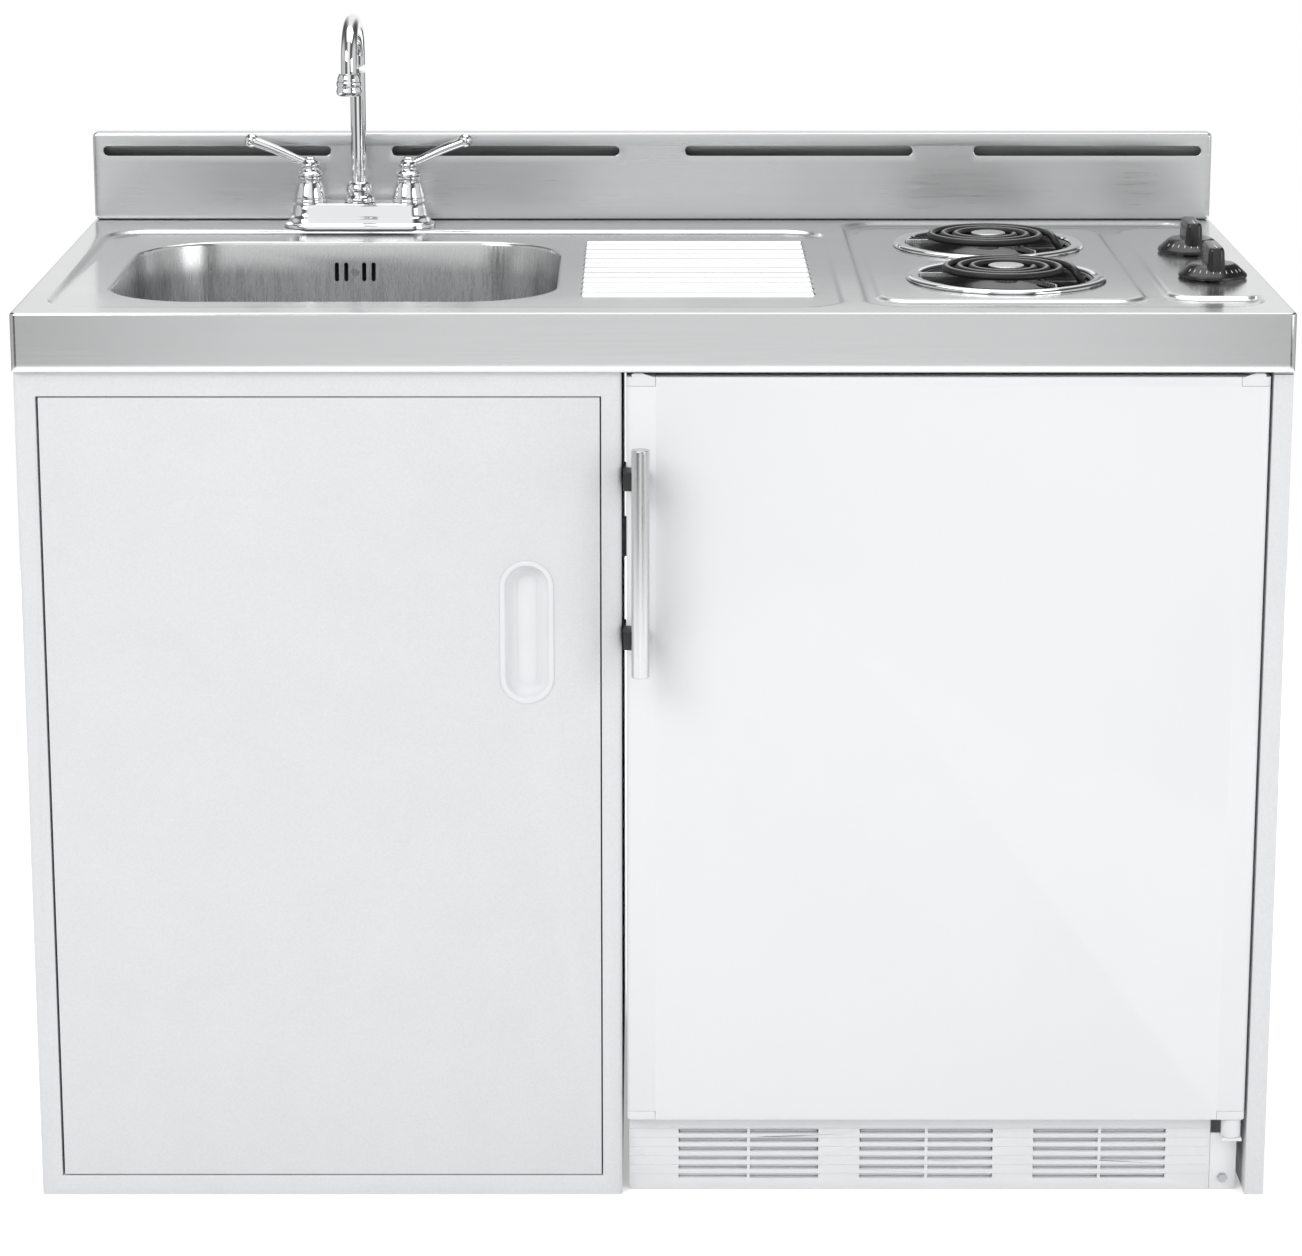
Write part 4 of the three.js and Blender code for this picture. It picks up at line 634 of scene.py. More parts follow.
def make_finishes():
    c = sizes("colours")
    made = {}
    made["brushed_steel"] = brushed("brushed_steel", c.steel, 0.26, 0.4, (90, 1.2, 1.2))
    made["worktop_steel"] = brushed("worktop_steel", c.steel, 0.15, 0.23, (70, 1.5, 1.5), 1.1)
    # painted reflection: on the bowl the streaks run upright, so their dark and bright tone is partly
    # brushed grain and partly painted reflection bands
    made["bowl_steel"] = brushed("bowl_steel", tuple(v * 0.93 for v in c.steel), 0.2, 0.32, (1.5, 1.5, 80),
        1.6)
    made["handle_steel"] = brushed("handle_steel", c.steel, 0.24, 0.36, (1.2, 1.2, 70))

    f = Finish("chrome", c.chrome, metallic=1.0)
    smudge = f.noise(30, 3.0)
    f.set("Roughness", f.spread(smudge, 0.035, 0.09))
    f.shade(f.noise(90), 0.97, 1.0)
    made["chrome"] = f.material

    f = Finish("heater_sheath", (0.018, 0.018, 0.019), metallic=0.3)
    # painted highlight: the tube's upward-facing flat tops are painted light grey over the dark sheath,
    # broken up by noise
    normal = f.add("ShaderNodeNewGeometry").outputs["Normal"]
    up = f.add("ShaderNodeSeparateXYZ", {0: normal}).outputs["Z"]
    painted_top_highlight = f.add("ShaderNodeMath",
        {0: f.spread(up, 0.0, 1.0, 0.86, 0.99), 1: f.spread(f.noise(5, 4.0), 0.72, 1.0)},
        operation="MULTIPLY")
    f.set("Base Color", f.mix(painted_top_highlight.outputs[0], f.colour, (0.26, 0.26, 0.26, 1.0)))
    f.set("Roughness", f.spread(f.noise(2.0), 0.38, 0.55))
    f.bump(f.noise(1.2, 4.0), 0.12, 0.08)
    made["heater_sheath"] = f.material

    f = Finish("black_enamel", c.enamel, coat_weight=0.4, coat_roughness=0.12)
    f.shade(f.noise(14), 0.8, 1.5)
    f.set("Roughness", f.spread(f.noise(9), 0.16, 0.28))
    f.bump(f.noise(7, 2.0), 0.06, 0.15)
    made["black_enamel"] = f.material

    f = Finish("black_plastic", c.black, specular_ior_level=0.55)
    f.set("Roughness", f.spread(f.noise(4), 0.17, 0.28))
    f.shade(f.noise(20), 0.85, 1.3)
    f.bump(f.noise(0.7, 2.0), 0.05, 0.03)
    made["black_plastic"] = f.material

    f = Finish("black_moulding", (0.018, 0.018, 0.019))
    f.set("Roughness", f.spread(f.noise(3), 0.42, 0.6))
    f.shade(f.noise(12), 0.8, 1.25)
    f.bump(f.noise(0.5, 3.0), 0.25, 0.06)
    made["black_moulding"] = f.material

    f = Finish("powder_coat", c.powder, specular_ior_level=0.4)
    pebble = f.noise(1.9, 2.0, 0.5)
    f.shade(pebble, 0.965, 1.02)
    f.shade(f.noise(60, 2.0), 0.99, 1.01)
    f.set("Roughness", f.spread(pebble, 0.36, 0.5))
    f.bump(pebble, 0.32, 0.16)
    f.bump(f.noise(0.6, 2.0), 0.12, 0.03)
    made["powder_coat"] = f.material

    f = Finish("white_paint", c.paint, coat_weight=0.25, coat_roughness=0.1)
    peel = f.noise(4.5, 2.0, 0.5)
    f.shade(f.noise(180, 2.0), 0.99, 1.005)
    f.set("Roughness", f.spread(peel, 0.3, 0.38))
    f.bump(peel, 0.06, 0.08)
    made["white_paint"] = f.material

    f = Finish("white_plastic", c.plastic, specular_ior_level=0.45)
    grain = f.noise(0.6, 3.0)
    f.shade(f.noise(45, 2.0), 0.985, 1.01)
    f.set("Roughness", f.spread(grain, 0.38, 0.5))
    f.bump(grain, 0.12, 0.03)
    made["white_plastic"] = f.material

    f = Finish("gasket_rubber", (0.66, 0.66, 0.67), specular_ior_level=0.3)
    f.shade(f.noise(16), 0.94, 1.02)
    f.set("Roughness", f.spread(f.noise(2), 0.62, 0.8))
    f.bump(f.noise(0.8), 0.2, 0.05)
    made["gasket_rubber"] = f.material

    f = Finish("shelf_glass", (0.84, 0.95, 0.93), transmission_weight=0.9, ior=1.5)
    f.set("Roughness", f.spread(f.noise(40), 0.015, 0.05))
    f.shade(f.noise(120), 0.97, 1.0)
    made["shelf_glass"] = f.material

    f = Finish("zinc", (0.5, 0.515, 0.53), metallic=0.9)
    spangle = f.cells(9)
    grey = f.add("ShaderNodeSeparateColor", {0: spangle.outputs["Color"]}).outputs[0]
    f.shade(grey, 0.8, 1.08, 0.0, 1.0)
    f.set("Roughness", f.spread(grey, 0.36, 0.5, 0.0, 1.0))
    f.bump(f.noise(1.5), 0.06, 0.04)
    made["zinc"] = f.material

    f = Finish("ceramic", (0.72, 0.68, 0.6))
    f.shade(f.noise(3), 0.9, 1.04)
    f.set("Roughness", f.spread(f.noise(2), 0.5, 0.7))
    f.bump(f.noise(0.6), 0.3, 0.05)
    made["ceramic"] = f.material

    f = Finish("mark_white", (0.78, 0.78, 0.78))
    f.shade(f.noise(1.5), 0.88, 1.0)
    f.set("Roughness", f.spread(f.noise(2), 0.45, 0.6))
    made["mark_white"] = f.material
    return made


FINISHES = {}


# ---- worktop and sink ----------------------------------------------------------------------------
def deep(y):
    """A distance behind the apron's face as a place on Y."""
    return FRONT + y


SINK_FIELD = Field(-585, 185, deep(37), deep(529), 45)
HOB_FIELD = Field(203, 590, deep(37), deep(587), 40)
RING_PLATEAU = Field(222, 475, deep(83), deep(540), 28)
KNOB_PLATEAU = Field(504, 596, deep(98), deep(540), 26)
SLOPE = 6.0
BOWL_LOW, BOWL_HIGH = span("sink_bowl")
BOWL_FLANGE = 14.0
RINGS = {"front": (352.0, deep(209)), "rear": (352.0, deep(425))}
KNOBS = {"front": (558.0, deep(211)), "rear": (558.0, deep(375))}
RIB_X, RIB_Y, RIB_WIDE = (-72.0, 160.0), (deep(130), deep(460)), 9.0


def bowl_field():
    return Field(
        BOWL_LOW.x + BOWL_FLANGE, BOWL_HIGH.x - BOWL_FLANGE, BOWL_LOW.y + BOWL_FLANGE,
        BOWL_HIGH.y - BOWL_FLANGE, sizes("sink").corner
    )


def rib_fields():
    s = sizes("worktop")
    ys = np.linspace(RIB_Y[0], RIB_Y[1], s.rib_count)
    return [Field(RIB_X[0], RIB_X[1], y - RIB_WIDE / 2, y + RIB_WIDE / 2, RIB_WIDE / 2 - 0.05) for y in ys]


def pressed(distance, run=SLOPE):
    """0 outside a pressed field, 1 on its floor, with a soft shoulder between."""
    t = np.clip(-distance / run, 0, 1)
    return t * t * (3 - 2 * t)


def soft_max(a, b, blend=0.7):
    h = np.clip(0.5 + 0.5 * (a - b) / blend, 0, 1)
    return b + (a - b) * h + blend * h * (1 - h)


def sheet_height(x, y, outer, bowl, ribs):
    """Height of the worktop's sheet above the floor."""
    s = sizes("worktop")
    sink = -s.recess * pressed(SINK_FIELD.distance(x, y))
    for rib in ribs:
        sink = sink + s.rib_height * pressed(rib.distance(x, y), RIB_WIDE / 3)
    hob = -s.recess * pressed(HOB_FIELD.distance(x, y))
    hob = hob + s.plateau * pressed(RING_PLATEAU.distance(x, y) - SLOPE)
    knob = -s.recess + (s.recess - 0.05) * pressed(KNOB_PLATEAU.distance(x, y) - SLOPE)
    inside = HOB_FIELD.distance(x, y) < 0
    z = sink + np.where(inside, soft_max(hob, knob), hob)
    for field, roll in ((outer, s.edge), (bowl, 4.0)):
        out = field.distance(x, y)
        gap = np.clip(-out if field is outer else out, 0, roll)
        z = z - (roll - np.sqrt(np.maximum(roll**2 - (roll - gap) ** 2, 0)))
    return COUNTER + z


def sheet_points(outer, bowl, ribs, holes):
    """Points on the flat plan: close together on pressed slopes, far apart on flat steel."""
    fine = sizes("worktop").fine
    xs = np.arange(outer.x0 + 2, outer.x1 - 2, fine)
    ys = np.arange(outer.y0 + 2, outer.y1 - 2, fine)
    gx, gy = np.meshgrid(xs, ys)
    ix, iy = np.meshgrid(np.arange(len(xs)), np.arange(len(ys)))
    near = np.full(gx.shape, 1e9)
    for field, a, b in [(SINK_FIELD, -SLOPE, 0), (HOB_FIELD, -SLOPE, 0), (RING_PLATEAU, 0, SLOPE),
        (KNOB_PLATEAU, 0, SLOPE),
                        *[(rib, -RIB_WIDE / 3, 0) for rib in ribs]]:
        d = field.distance(gx, gy)
        near = np.minimum(near, np.maximum(np.maximum(a - d, d - b), 0))
    keep = (near < 2.5) | ((near < 14) & (ix % 3 == 0) & (iy % 3 == 0)) | ((ix % 8 == 0) & (iy % 8 == 0))
    for rib in ribs:
        keep &= (rib.distance(gx, gy) > 0.8) | ((rib.distance(gx, gy) < -3.6) & (ix % 4 == 0))
    keep &= (outer.distance(gx, gy) < -5.0) & (bowl.distance(gx, gy) > 6.0)
    for x, y, r in holes:
        keep &= np.hypot(gx - x, gy - y) > r + 1.5
    return np.column_stack([gx[keep], gy[keep]])


def worktop_mesh():
    s = sizes("worktop")
    outer = Field(TOP_LOW.x, TOP_HIGH.x, TOP_LOW.y, TOP_HIGH.y, 6.0)
    bowl, ribs = bowl_field(), rib_fields()
    holes = [(x, y, 87.0) for x, y in RINGS.values()]
    rings = [outer.outline(inset, 8) for inset in (0.0, 0.25, 0.8, 1.7, 3.0, 4.4)]
    rings += [bowl.outline(-out, 20) for out in (0.0, 0.3, 0.9, 2.0, 3.6, 5.2)]
    circle = np.linspace(0, 2 * math.pi, 96, endpoint=False)
    rings += [np.column_stack([x + r * np.cos(circle), y + r * np.sin(circle)]) for x, y, r in holes]
    rings += [rib.outline(inset, 4) for rib in ribs for inset in (0.0, 0.7, 1.5, 2.3, 3.0)]
    points, edges = [sheet_points(outer, bowl, ribs, holes)], []
    base = len(points[0])
    for ring in rings:
        ring = ring[np.linalg.norm(ring - np.roll(ring, 1, axis=0), axis=1) > 1e-6]
        edges += [(base + k, base + (k + 1) % len(ring)) for k in range(len(ring))]
        points.append(ring)
        base += len(ring)
    flat = np.concatenate(points)
    verts, _, faces, *_ = delaunay_2d_cdt([Vector(p) for p in flat], edges, [], 0, 1e-4)
    plan = np.array([tuple(v) for v in verts])
    tri = np.array(faces)
    mid = plan[tri].mean(axis=1)
    keep = (outer.distance(mid[:, 0], mid[:, 1]) < 0) & (bowl.distance(mid[:, 0], mid[:, 1]) > 0)
    for x, y, r in holes:
        keep &= np.hypot(mid[:, 0] - x, mid[:, 1] - y) > r * 0.9995
    z = sheet_height(plan[:, 0], plan[:, 1], outer, bowl, ribs)
    top = (np.column_stack([plan, z]), [tuple(f) for f in tri[keep]])
    # the apron hangs from the rolled edge and turns in at its hem
    low = TOP_LOW.z
    skirt = loft([
        level(outer.outline(0, 8), COUNTER - s.edge), level(outer.outline(0, 8), low + 9),
        level(outer.outline(0, 8), low + 1.2),
        level(outer.outline(0.4, 8), low + 0.4), level(outer.outline(1.4, 8), low),
        level(outer.outline(14, 8), low),
    ], caps=False)
    mesh = mesh_of("worktop_sheet", together(top, skirt), 60, merge=0.02)
    face_up = [p for p in mesh.polygons if abs(p.center.z / MM - COUNTER) < 3 and abs(p.normal.z) > 0.9]
    if face_up and face_up[0].normal.z < 0:
        mesh.flip_normals()
    mesh = settled(mesh, ("SOLIDIFY", {"thickness": s.sheet * MM, "offset": -1.0, "use_even_offset": True}))
    smooth(mesh, 50)
    return mesh


def guard_mesh():
    """The backguard's folded channel with its four vent slots."""
    low, high = span("backguard")
    face = Field(low.x, high.x, low.z, high.z, 5.0)
    z = high.z - 19.6
    slots = [Field(side * c - 123.5, side * c + 123.5, z - 5.15, z + 5.15, 5.1) for c in (473.5, 159.5)
        for side in (-1, 1)]
    rings = [face.outline(inset, 6) for inset in (0.0, 0.5, 1.6, 3.2)] + [slot.outline(-out, 10)
        for slot in slots for out in (0.0, 0.35, 1.0)]
    points, edges, base = [], [], 0
    for ring in rings:
        ring = ring[np.linalg.norm(ring - np.roll(ring, 1, axis=0), axis=1) > 1e-6]
        edges += [(base + k, base + (k + 1) % len(ring)) for k in range(len(ring))]
        points.append(ring)
        base += len(ring)
    gx, gy = np.meshgrid(np.arange(low.x + 8, high.x - 8, 12.0), np.arange(low.z + 8, high.z - 6, 9.0))
    grid = np.column_stack([gx.ravel(), gy.ravel()])
    clear = np.ones(len(grid), bool)
    for slot in slots:
        clear &= slot.distance(grid[:, 0], grid[:, 1]) > 2.5
    flat = np.concatenate(points + [grid[clear]])
    verts, _, faces, *_ = delaunay_2d_cdt([Vector(p) for p in flat], edges, [], 0, 1e-4)
    plan = np.array([tuple(v) for v in verts])
    tri = np.array(faces)
    mid = plan[tri].mean(axis=1)
    keep = face.distance(mid[:, 0], mid[:, 1]) < 0
    depth = np.zeros(len(plan))
    out = np.clip(-face.distance(plan[:, 0], plan[:, 1]), 0, 3.0)
    depth += 3.0 - np.sqrt(np.maximum(9.0 - (3.0 - out) ** 2, 0))
    for slot in slots:
        keep &= slot.distance(mid[:, 0], mid[:, 1]) > 0
        gap = np.clip(slot.distance(plan[:, 0], plan[:, 1]), 0, 0.8)
        depth += 0.8 - np.sqrt(np.maximum(0.64 - (0.8 - gap) ** 2, 0))
    front = (np.column_stack([plan[:, 0], low.y + depth, plan[:, 1]]), [tuple(f) for f in tri[keep]])

    def standing(inset, y):
        ring = face.outline(inset, 6)
        return np.column_stack([ring[:, 0], np.full(len(ring), y), ring[:, 1]])

    wrap = loft([standing(0, low.y + 3.0), standing(0, high.y - 1.0), standing(0.3, high.y - 0.3),
        standing(1.0, high.y)], caps=False)
    back = (standing(1.0, high.y), [tuple(range(len(standing(1.0, high.y))))])
    mesh = mesh_of("backguard_sheet", together(front, wrap, back), 50, merge=0.02)
    facing = next(p for p in mesh.polygons if abs(p.normal.y) > 0.95 and abs(p.center.y / MM - low.y) < 1)
    if facing.normal.y > 0:
        mesh.flip_normals()
    mesh = settled(mesh, ("SOLIDIFY", {"thickness": 1.0 * MM, "offset": -1.0, "use_even_offset": True}))
    smooth(mesh, 50)
    return mesh


def capsule_cutter(x, z, wide, high, y0, y1):
    field = Field(x - wide / 2, x + wide / 2, z - high / 2, z + high / 2, wide / 2 - 0.01)
    ring = field.outline(0, 8)
    return loft([np.column_stack([ring[:, 0], np.full(len(ring), y), ring[:, 1]]) for y in (y0, y1)])


def bowl_mesh():
    s = sizes("sink")
    field = bowl_field()
    top = COUNTER - sizes("worktop").recess - 4.0
    floor = COUNTER - sizes("worktop").recess - s.depth
    drain = span("strainer_body")
    cx, cy = (drain[0].x + drain[1].x) / 2, (drain[0].y + drain[1].y) / 2
    steps = 16
    rings = [level(field.outline(-0.4, steps), top + 0.6), level(field.outline(0, steps), top - 0.6)]
    rings += [level(field.outline(s.taper * t, steps), top - 0.6 + (floor + s.floor_round - top) * t)
        for t in (0.25, 0.5, 0.75)]
    for k in range(9):
        turn = math.pi / 2 * k / 8
        rings.append(level(
            field.outline(s.taper + s.floor_round * (1 - math.cos(turn)), steps),
            floor + s.floor_round * (1 - math.sin(turn))
        ))
    sides = len(rings[0])
    last = rings[-1][:, :2]

    def towards(radius, z, share):
        circle = np.array([(cx + radius * math.cos(a), cy + radius * math.sin(a))
            for a in np.arctan2(last[:, 1] - cy, last[:, 0] - cx)])
        return level(last * (1 - share) + circle * share, z)

    rings += [towards(60, floor - 0.6, 0.35), towards(60, floor - 1.4, 0.75), towards(62, floor - 1.8, 1.0),
        towards(58, floor - 2.2, 1.0),
              towards(44, floor - 2.3, 1.0)]
    assert all(len(r) == sides for r in rings)
    mesh = mesh_of("sink_bowl_pressing", loft(rings, caps=False), 60)
    wall = max(mesh.polygons, key=lambda p: p.center.x)
    if wall.normal.x > 0:
        mesh.flip_normals()
    mesh = settled(mesh, ("SOLIDIFY", {"thickness": s.wall * MM, "offset": -1.0, "use_even_offset": True}))
    z, rear = COUNTER - 36, field.y1
    middle = (field.x0 + field.x1) / 2
    cutters = together(*[capsule_cutter(middle + d, z, 4.4, 20, rear - 20, rear + 8)
        for d in (-19.5, -9.5, 9.5, 19.5)])
    cutter = bpy.data.objects.new("cutter", mesh_of("cutter", cutters))
    bpy.context.scene.collection.objects.link(cutter)
    mesh = settled(mesh, ("BOOLEAN",
        {"object": cutter, "operation": "DIFFERENCE", "solver": "EXACT", "use_self": True}))
    bpy.data.objects.remove(cutter)
    smooth(mesh, 45)
    return mesh


class WorktopBuilder(bpy.types.Operator):
    """Presses the worktop's sheet with its fields, platforms and drainer ribs, and folds the backguard"""

    bl_idname = "kitchenette.worktop"
    bl_label = "Build worktop"

    def execute(self, context):
        piece("worktop_sheet", worktop_mesh(), body_for("worktop"),
            FINISHES["worktop_steel"], ("worktop",))
        piece("backguard_sheet", guard_mesh(), body_for("backguard"),
            FINISHES["brushed_steel"], ("backguard",))
        return {"FINISHED"}


class SinkBuilder(bpy.types.Operator):
    """Draws the sink bowl, its overflow and its strainer"""

    bl_idname = "kitchenette.sink"
    bl_label = "Build sink"

    def execute(self, context):
        piece("sink_bowl_pressing", bowl_mesh(), body_for("sink_bowl"),
            FINISHES["bowl_steel"], ("sink_bowl",))
        low, high = span("strainer_body")
        x, y = (low.x + high.x) / 2, (low.y + high.y) / 2
        cup = high.z - 47.9
        body = turned(eased([
            (57, high.z - 2.2), (57, high.z - 1.0), (50, high.z + 0.0), (43, high.z), (41, high.z - 2),
            (41, cup + 1.6), (17.4, cup + 1.6),
            (17.4, low.z), (19, low.z), (19, cup), (42.6, cup), (42.6, high.z - 2.6), (57, high.z - 2.2),
        ], 1.2), 96)
        piece("strainer_body_turned", mesh_of("strainer_body_turned", moved(body, (x, y, 0))),
            body_for("strainer_body"),
              FINISHES["chrome"], ("strainer_body",))
        low, high = span("strainer_basket")
        basket = turned(eased([
            (0, low.z), (33.8, low.z), (39.6, low.z + 8), (39.6, high.z - 5.2), (38.4, high.z - 5.2),
            (38.4, low.z + 8.4), (33.2, low.z + 1), (4, low.z + 1),
            (3, low.z + 26), (8, low.z + 29), (9, low.z + 33), (9, low.z + 36), (5.5, low.z + 38.6),
            (0, low.z + 39),
        ], 2.0), 72)
        piece("strainer_basket_turned", mesh_of("strainer_basket_turned", moved(basket, (x, y, 0))),
            body_for("strainer_basket"),
              FINISHES["bowl_steel"], ("strainer_basket",))
        # painted shade: the basket's perforations are not cut; black discs on its floor stand for the shade
        # seen through the holes
        holes = [(x + r * math.cos(2 * math.pi * k / n + r), y + r * math.sin(2 * math.pi * k / n + r),
            low.z + 1.1)
                 for r, n in ((11, 8), (17, 12), (23, 16), (29, 20)) for k in range(n)]
        dots = GROWTHS["stud"].grow(holes, [], FINISHES["black_moulding"],
            {"Radius": 1.5 * MM, "Height": 0.3 * MM, "Sides": 12})
        piece("strainer_basket_hole_shade", dots, body_for("strainer_basket"),
            FINISHES["black_moulding"])
        middle = (BOWL_LOW.x + BOWL_HIGH.x) / 2
        wall_y = bowl_field().y1 - 8.0 * (COUNTER - 36 - (COUNTER - 8)) / -118
        tilt = (math.radians(90), 0.0, 0.0)
        screw = GROWTHS["stud"].grow([(middle, wall_y - 0.9, COUNTER - 36)], [], FINISHES["chrome"], {
            "Radius": 4.6 * MM, "Height": 1.8 * MM, "Tilt": tilt, "Sides": 32})
        piece("overflow_screw", screw, body_for("sink_bowl"), FINISHES["chrome"])
        dress("overflow_housing", FINISHES["black_moulding"], "black_moulding")
        dress("waste_trap", FINISHES["white_plastic"], "white_plastic", 0.8)
        return {"FINISHED"}


# ---- tap -----------------------------------------------------------------------------------------
TAP_LOW, TAP_HIGH = span("tap_body")
TAP_X = (TAP_LOW.x + TAP_HIGH.x) / 2
TAP_Y = (TAP_LOW.y + TAP_HIGH.y) / 2
DECK = COUNTER + 0.3
HUB_TOP = TAP_HIGH.z - 28.0  # top of the deck body, below the bells
HUBS = {"hot": TAP_X - 53.0, "cold": TAP_X + 53.0}


def tap_body_form():
    plate = Field(TAP_LOW.x, TAP_HIGH.x, TAP_LOW.y, TAP_HIGH.y, (TAP_HIGH.y - TAP_LOW.y) / 2 - 1)
    steps = [(0, 0), (0, 2.6), (0.5, 3.6), (1.6, 4.3), (3.4, 4.8), (4.8, 6.2), (5.4, 9), (6.6, 11), (8, 12),
        (9, 14), (9.6, 19), (10.4, 22.4),
             (11.6, 24.6), (13, 25.8), (16, 26)]
    body = loft([level(plate.outline(inset, 14), DECK + z) for inset, z in steps])
    bell = [(0, -5), (16, -5), (18, 0.5), (18, 2.4), (17, 4), (17.4, 6), (16.6, 9), (14.4, 17),
        (12.4, 21.5), (11, 23), (11.4, 24.2), (13, 24.8),
            (13, 27.6), (12.4, 28), (0, 28)]
    parts = [body]
    for x in HUBS.values():
        parts.append(moved(turned([(r, HUB_TOP + z) for r, z in eased(bell, 0.8, 2)], 64), (x, TAP_Y, 0)))
        shank = [(7.2, TAP_LOW.z), (10.2, TAP_LOW.z), (10.2, DECK + 2), (7.2, DECK + 2), (7.2, TAP_LOW.z)]
        parts.append(moved(turned(shank, 40), (x, TAP_Y, 0)))
    return together(*parts)


def handle_form(side):
    s = sizes("tap")
    out, x = (-1, HUBS["hot"]) if side == "hot" else (1, HUBS["cold"])
    foot = TAP_HIGH.z + 0.3
    neck = eased([(0, 0), (13, 0), (14, 1.2), (14, 2.8), (12.4, 4.2), (11, 5), (9.4, 7.4), (9, 9),
        (9.6, 10.6), (10.6, 11.6), (10.4, 13), (8.6, 15.4), (8, 16.2),
                  (5, 18.4), (0, 19)], 0.7, 2)
    parts = [moved(turned([(r, foot + z) for r, z in neck], 56), (x, TAP_Y, 0))]
    path = flowing([(x + out * reach * 66, TAP_Y, foot + rise) for reach, rise in
                    [(0, 12), (0.18, 17), (0.38, 23), (0.62, 30), (0.88, 36.5), (0.94, 38)]], 6)
    rings, n = [], 20
    for i, p in enumerate(path):
        along = path[min(i + 1, len(path) - 1)] - path[max(i - 1, 0)]
        along = along / np.linalg.norm(along)
        up = np.cross(along, (0, 1, 0))
        t = i / (len(path) - 1)
        r = s.lever_radius + 2.0 * t
        rings.append(np.array([p + r * (math.cos(a) * np.array((0, 1.12, 0)) + math.sin(a) * 0.9 * up)
            for a in np.linspace(0, 2 * math.pi, n, endpoint=False)]))
    parts.append(loft(rings))
    b = s.ball_radius
    ball = [(b * math.cos(a), b * math.sin(a)) for a in np.linspace(-math.pi / 2, math.pi / 2, 15)]
    ball[0], ball[-1] = (0, -b), (0, b)
    parts.append(moved(turned(ball, 32), (x + out * 62, TAP_Y, foot + 38)))
    button = eased([(0, 17.6), (6.2, 17.6), (6.2, 19.2), (4.8, 20.4), (0, 20.6)], 0.4, 2)
    parts.append(moved(turned([(r, foot + z) for r, z in button], 32), (x, TAP_Y, 0)))
    stem = [(0, DECK + 8.3), (4, DECK + 8.3), (4, foot + 1), (0, foot + 1)]
    parts.append(moved(turned(stem, 32), (x, TAP_Y, 0)))
    return together(*parts)


def spout_path():
    low, high = span("spout")
    radius = sizes("tap").spout_radius
    reach = high.y - low.y - 2 * radius
    arch = DECK + 180
    rise = high.z - radius - arch
    points = [(TAP_X, TAP_Y, low.z), (TAP_X, TAP_Y, HUB_TOP + 30), (TAP_X, TAP_Y, arch - 30)]
    for k in range(25):
        turn = math.pi * k / 24
        points.append((TAP_X, TAP_Y - reach / 2 * (1 - math.cos(turn)), arch + rise * math.sin(turn) ** 0.9))
    points.append((TAP_X, TAP_Y - reach, DECK + 167))
    return flowing(points, 3), TAP_Y - reach


class TapBuilder(bpy.types.Operator):
    """Turns the tap's body, levers, nut and aerator, and bends its gooseneck"""

    bl_idname = "kitchenette.tap"
    bl_label = "Build tap"

    def execute(self, context):
        chrome = FINISHES["chrome"]
        piece("tap_body_cast", mesh_of("tap_body_cast", tap_body_form(), 35), body_for("tap_body"),
            chrome, ("tap_body",))
        for side in HUBS:
            name = f"{side}_handle_cast"
            piece(name, mesh_of(name, handle_form(side), 35), body_for(f"{side}_handle"), chrome,
                (f"{side}_handle",))
        path, tip_y = spout_path()
        tube = tube_mesh(path, sizes("tap").spout_radius, chrome, sides=36)
        piece("spout_bent", tube, body_for("spout"), chrome, ("spout",))
        z = span("spout_nut")[0].z
        bore = sizes("tap").spout_radius + 0.3
        nut = eased([(bore, z), (16.5, z), (16.5, z + 4), (15.2, z + 6), (12.8, z + 8.4), (14, z + 11),
            (14, z + 16), (12.4, z + 19.5), (10.5, z + 22),
                     (bore, z + 22), (bore, z)], 0.9, 2)
        piece("spout_nut_turned",
            mesh_of("spout_nut_turned", moved(turned(nut, 64), (TAP_X, TAP_Y, 0)), 35),
            body_for("spout_nut"),
              chrome, ("spout_nut",))
        tip = DECK + 172
        bell = eased([(0, tip - 8), (9.6, tip - 8), (9.6, tip - 17), (11.6, tip - 17), (12.6, tip - 15.5),
            (13.5, tip - 12.5), (12.4, tip - 9), (12.2, tip - 7.6),
                      (13.1, tip - 6.4), (13.1, tip - 3), (12, tip - 1.6), (12.2, tip + 0.6),
                      (11.2, tip + 3.4), (10, tip + 6), (bore, tip + 6),
                      (bore, tip - 6), (0, tip - 6), (0, tip - 8)][:-1] + [(0, tip - 8)], 0.5, 2)
        piece("aerator_turned", mesh_of("aerator_turned", moved(turned(bell, 64), (TAP_X, tip_y, 0)), 35),
            body_for("aerator"),
              chrome, ("aerator",))
        return {"FINISHED"}


# ---- electric rings and knobs --------------------------------------------------------------------
def coil_path(x, y, z):
    """Centre line of one heater tube: in from the terminal, three turns, and down beside the medallion."""
    s = sizes("rings")
    spread, drop, low = 9.0, 18.0, z - 18.0
    start, end = s.outer - s.tube, s.inner
    total = int(s.turns * 36)
    winding = []
    for i in range(total + 1):
        turn, r = 2 * math.pi * i / 36, start - (start - end) * i / total
        winding.append((x + r * math.cos(turn), y + r * math.sin(turn), z))
    first, last = winding[0], winding[-1]
    lead = [(x + 106, y - spread, low), (x + s.outer + 12, y - spread, low),
        (x + s.outer + 4, y - spread, z - drop * 0.7),
            (first[0] + 3.5, y - spread + 0.5, z - drop * 0.25)]
    tail = [(last[0] + 1.5, last[1] + 7, z - drop * 0.25), (last[0] + 5, last[1] + 9.5, z - drop * 0.8),
        (last[0] + 14, y + spread, low),
            (x + s.outer + 4, y + spread, low), (x + 106, y + spread, low)]
    return flowing(lead + winding[::2] + tail, 4)


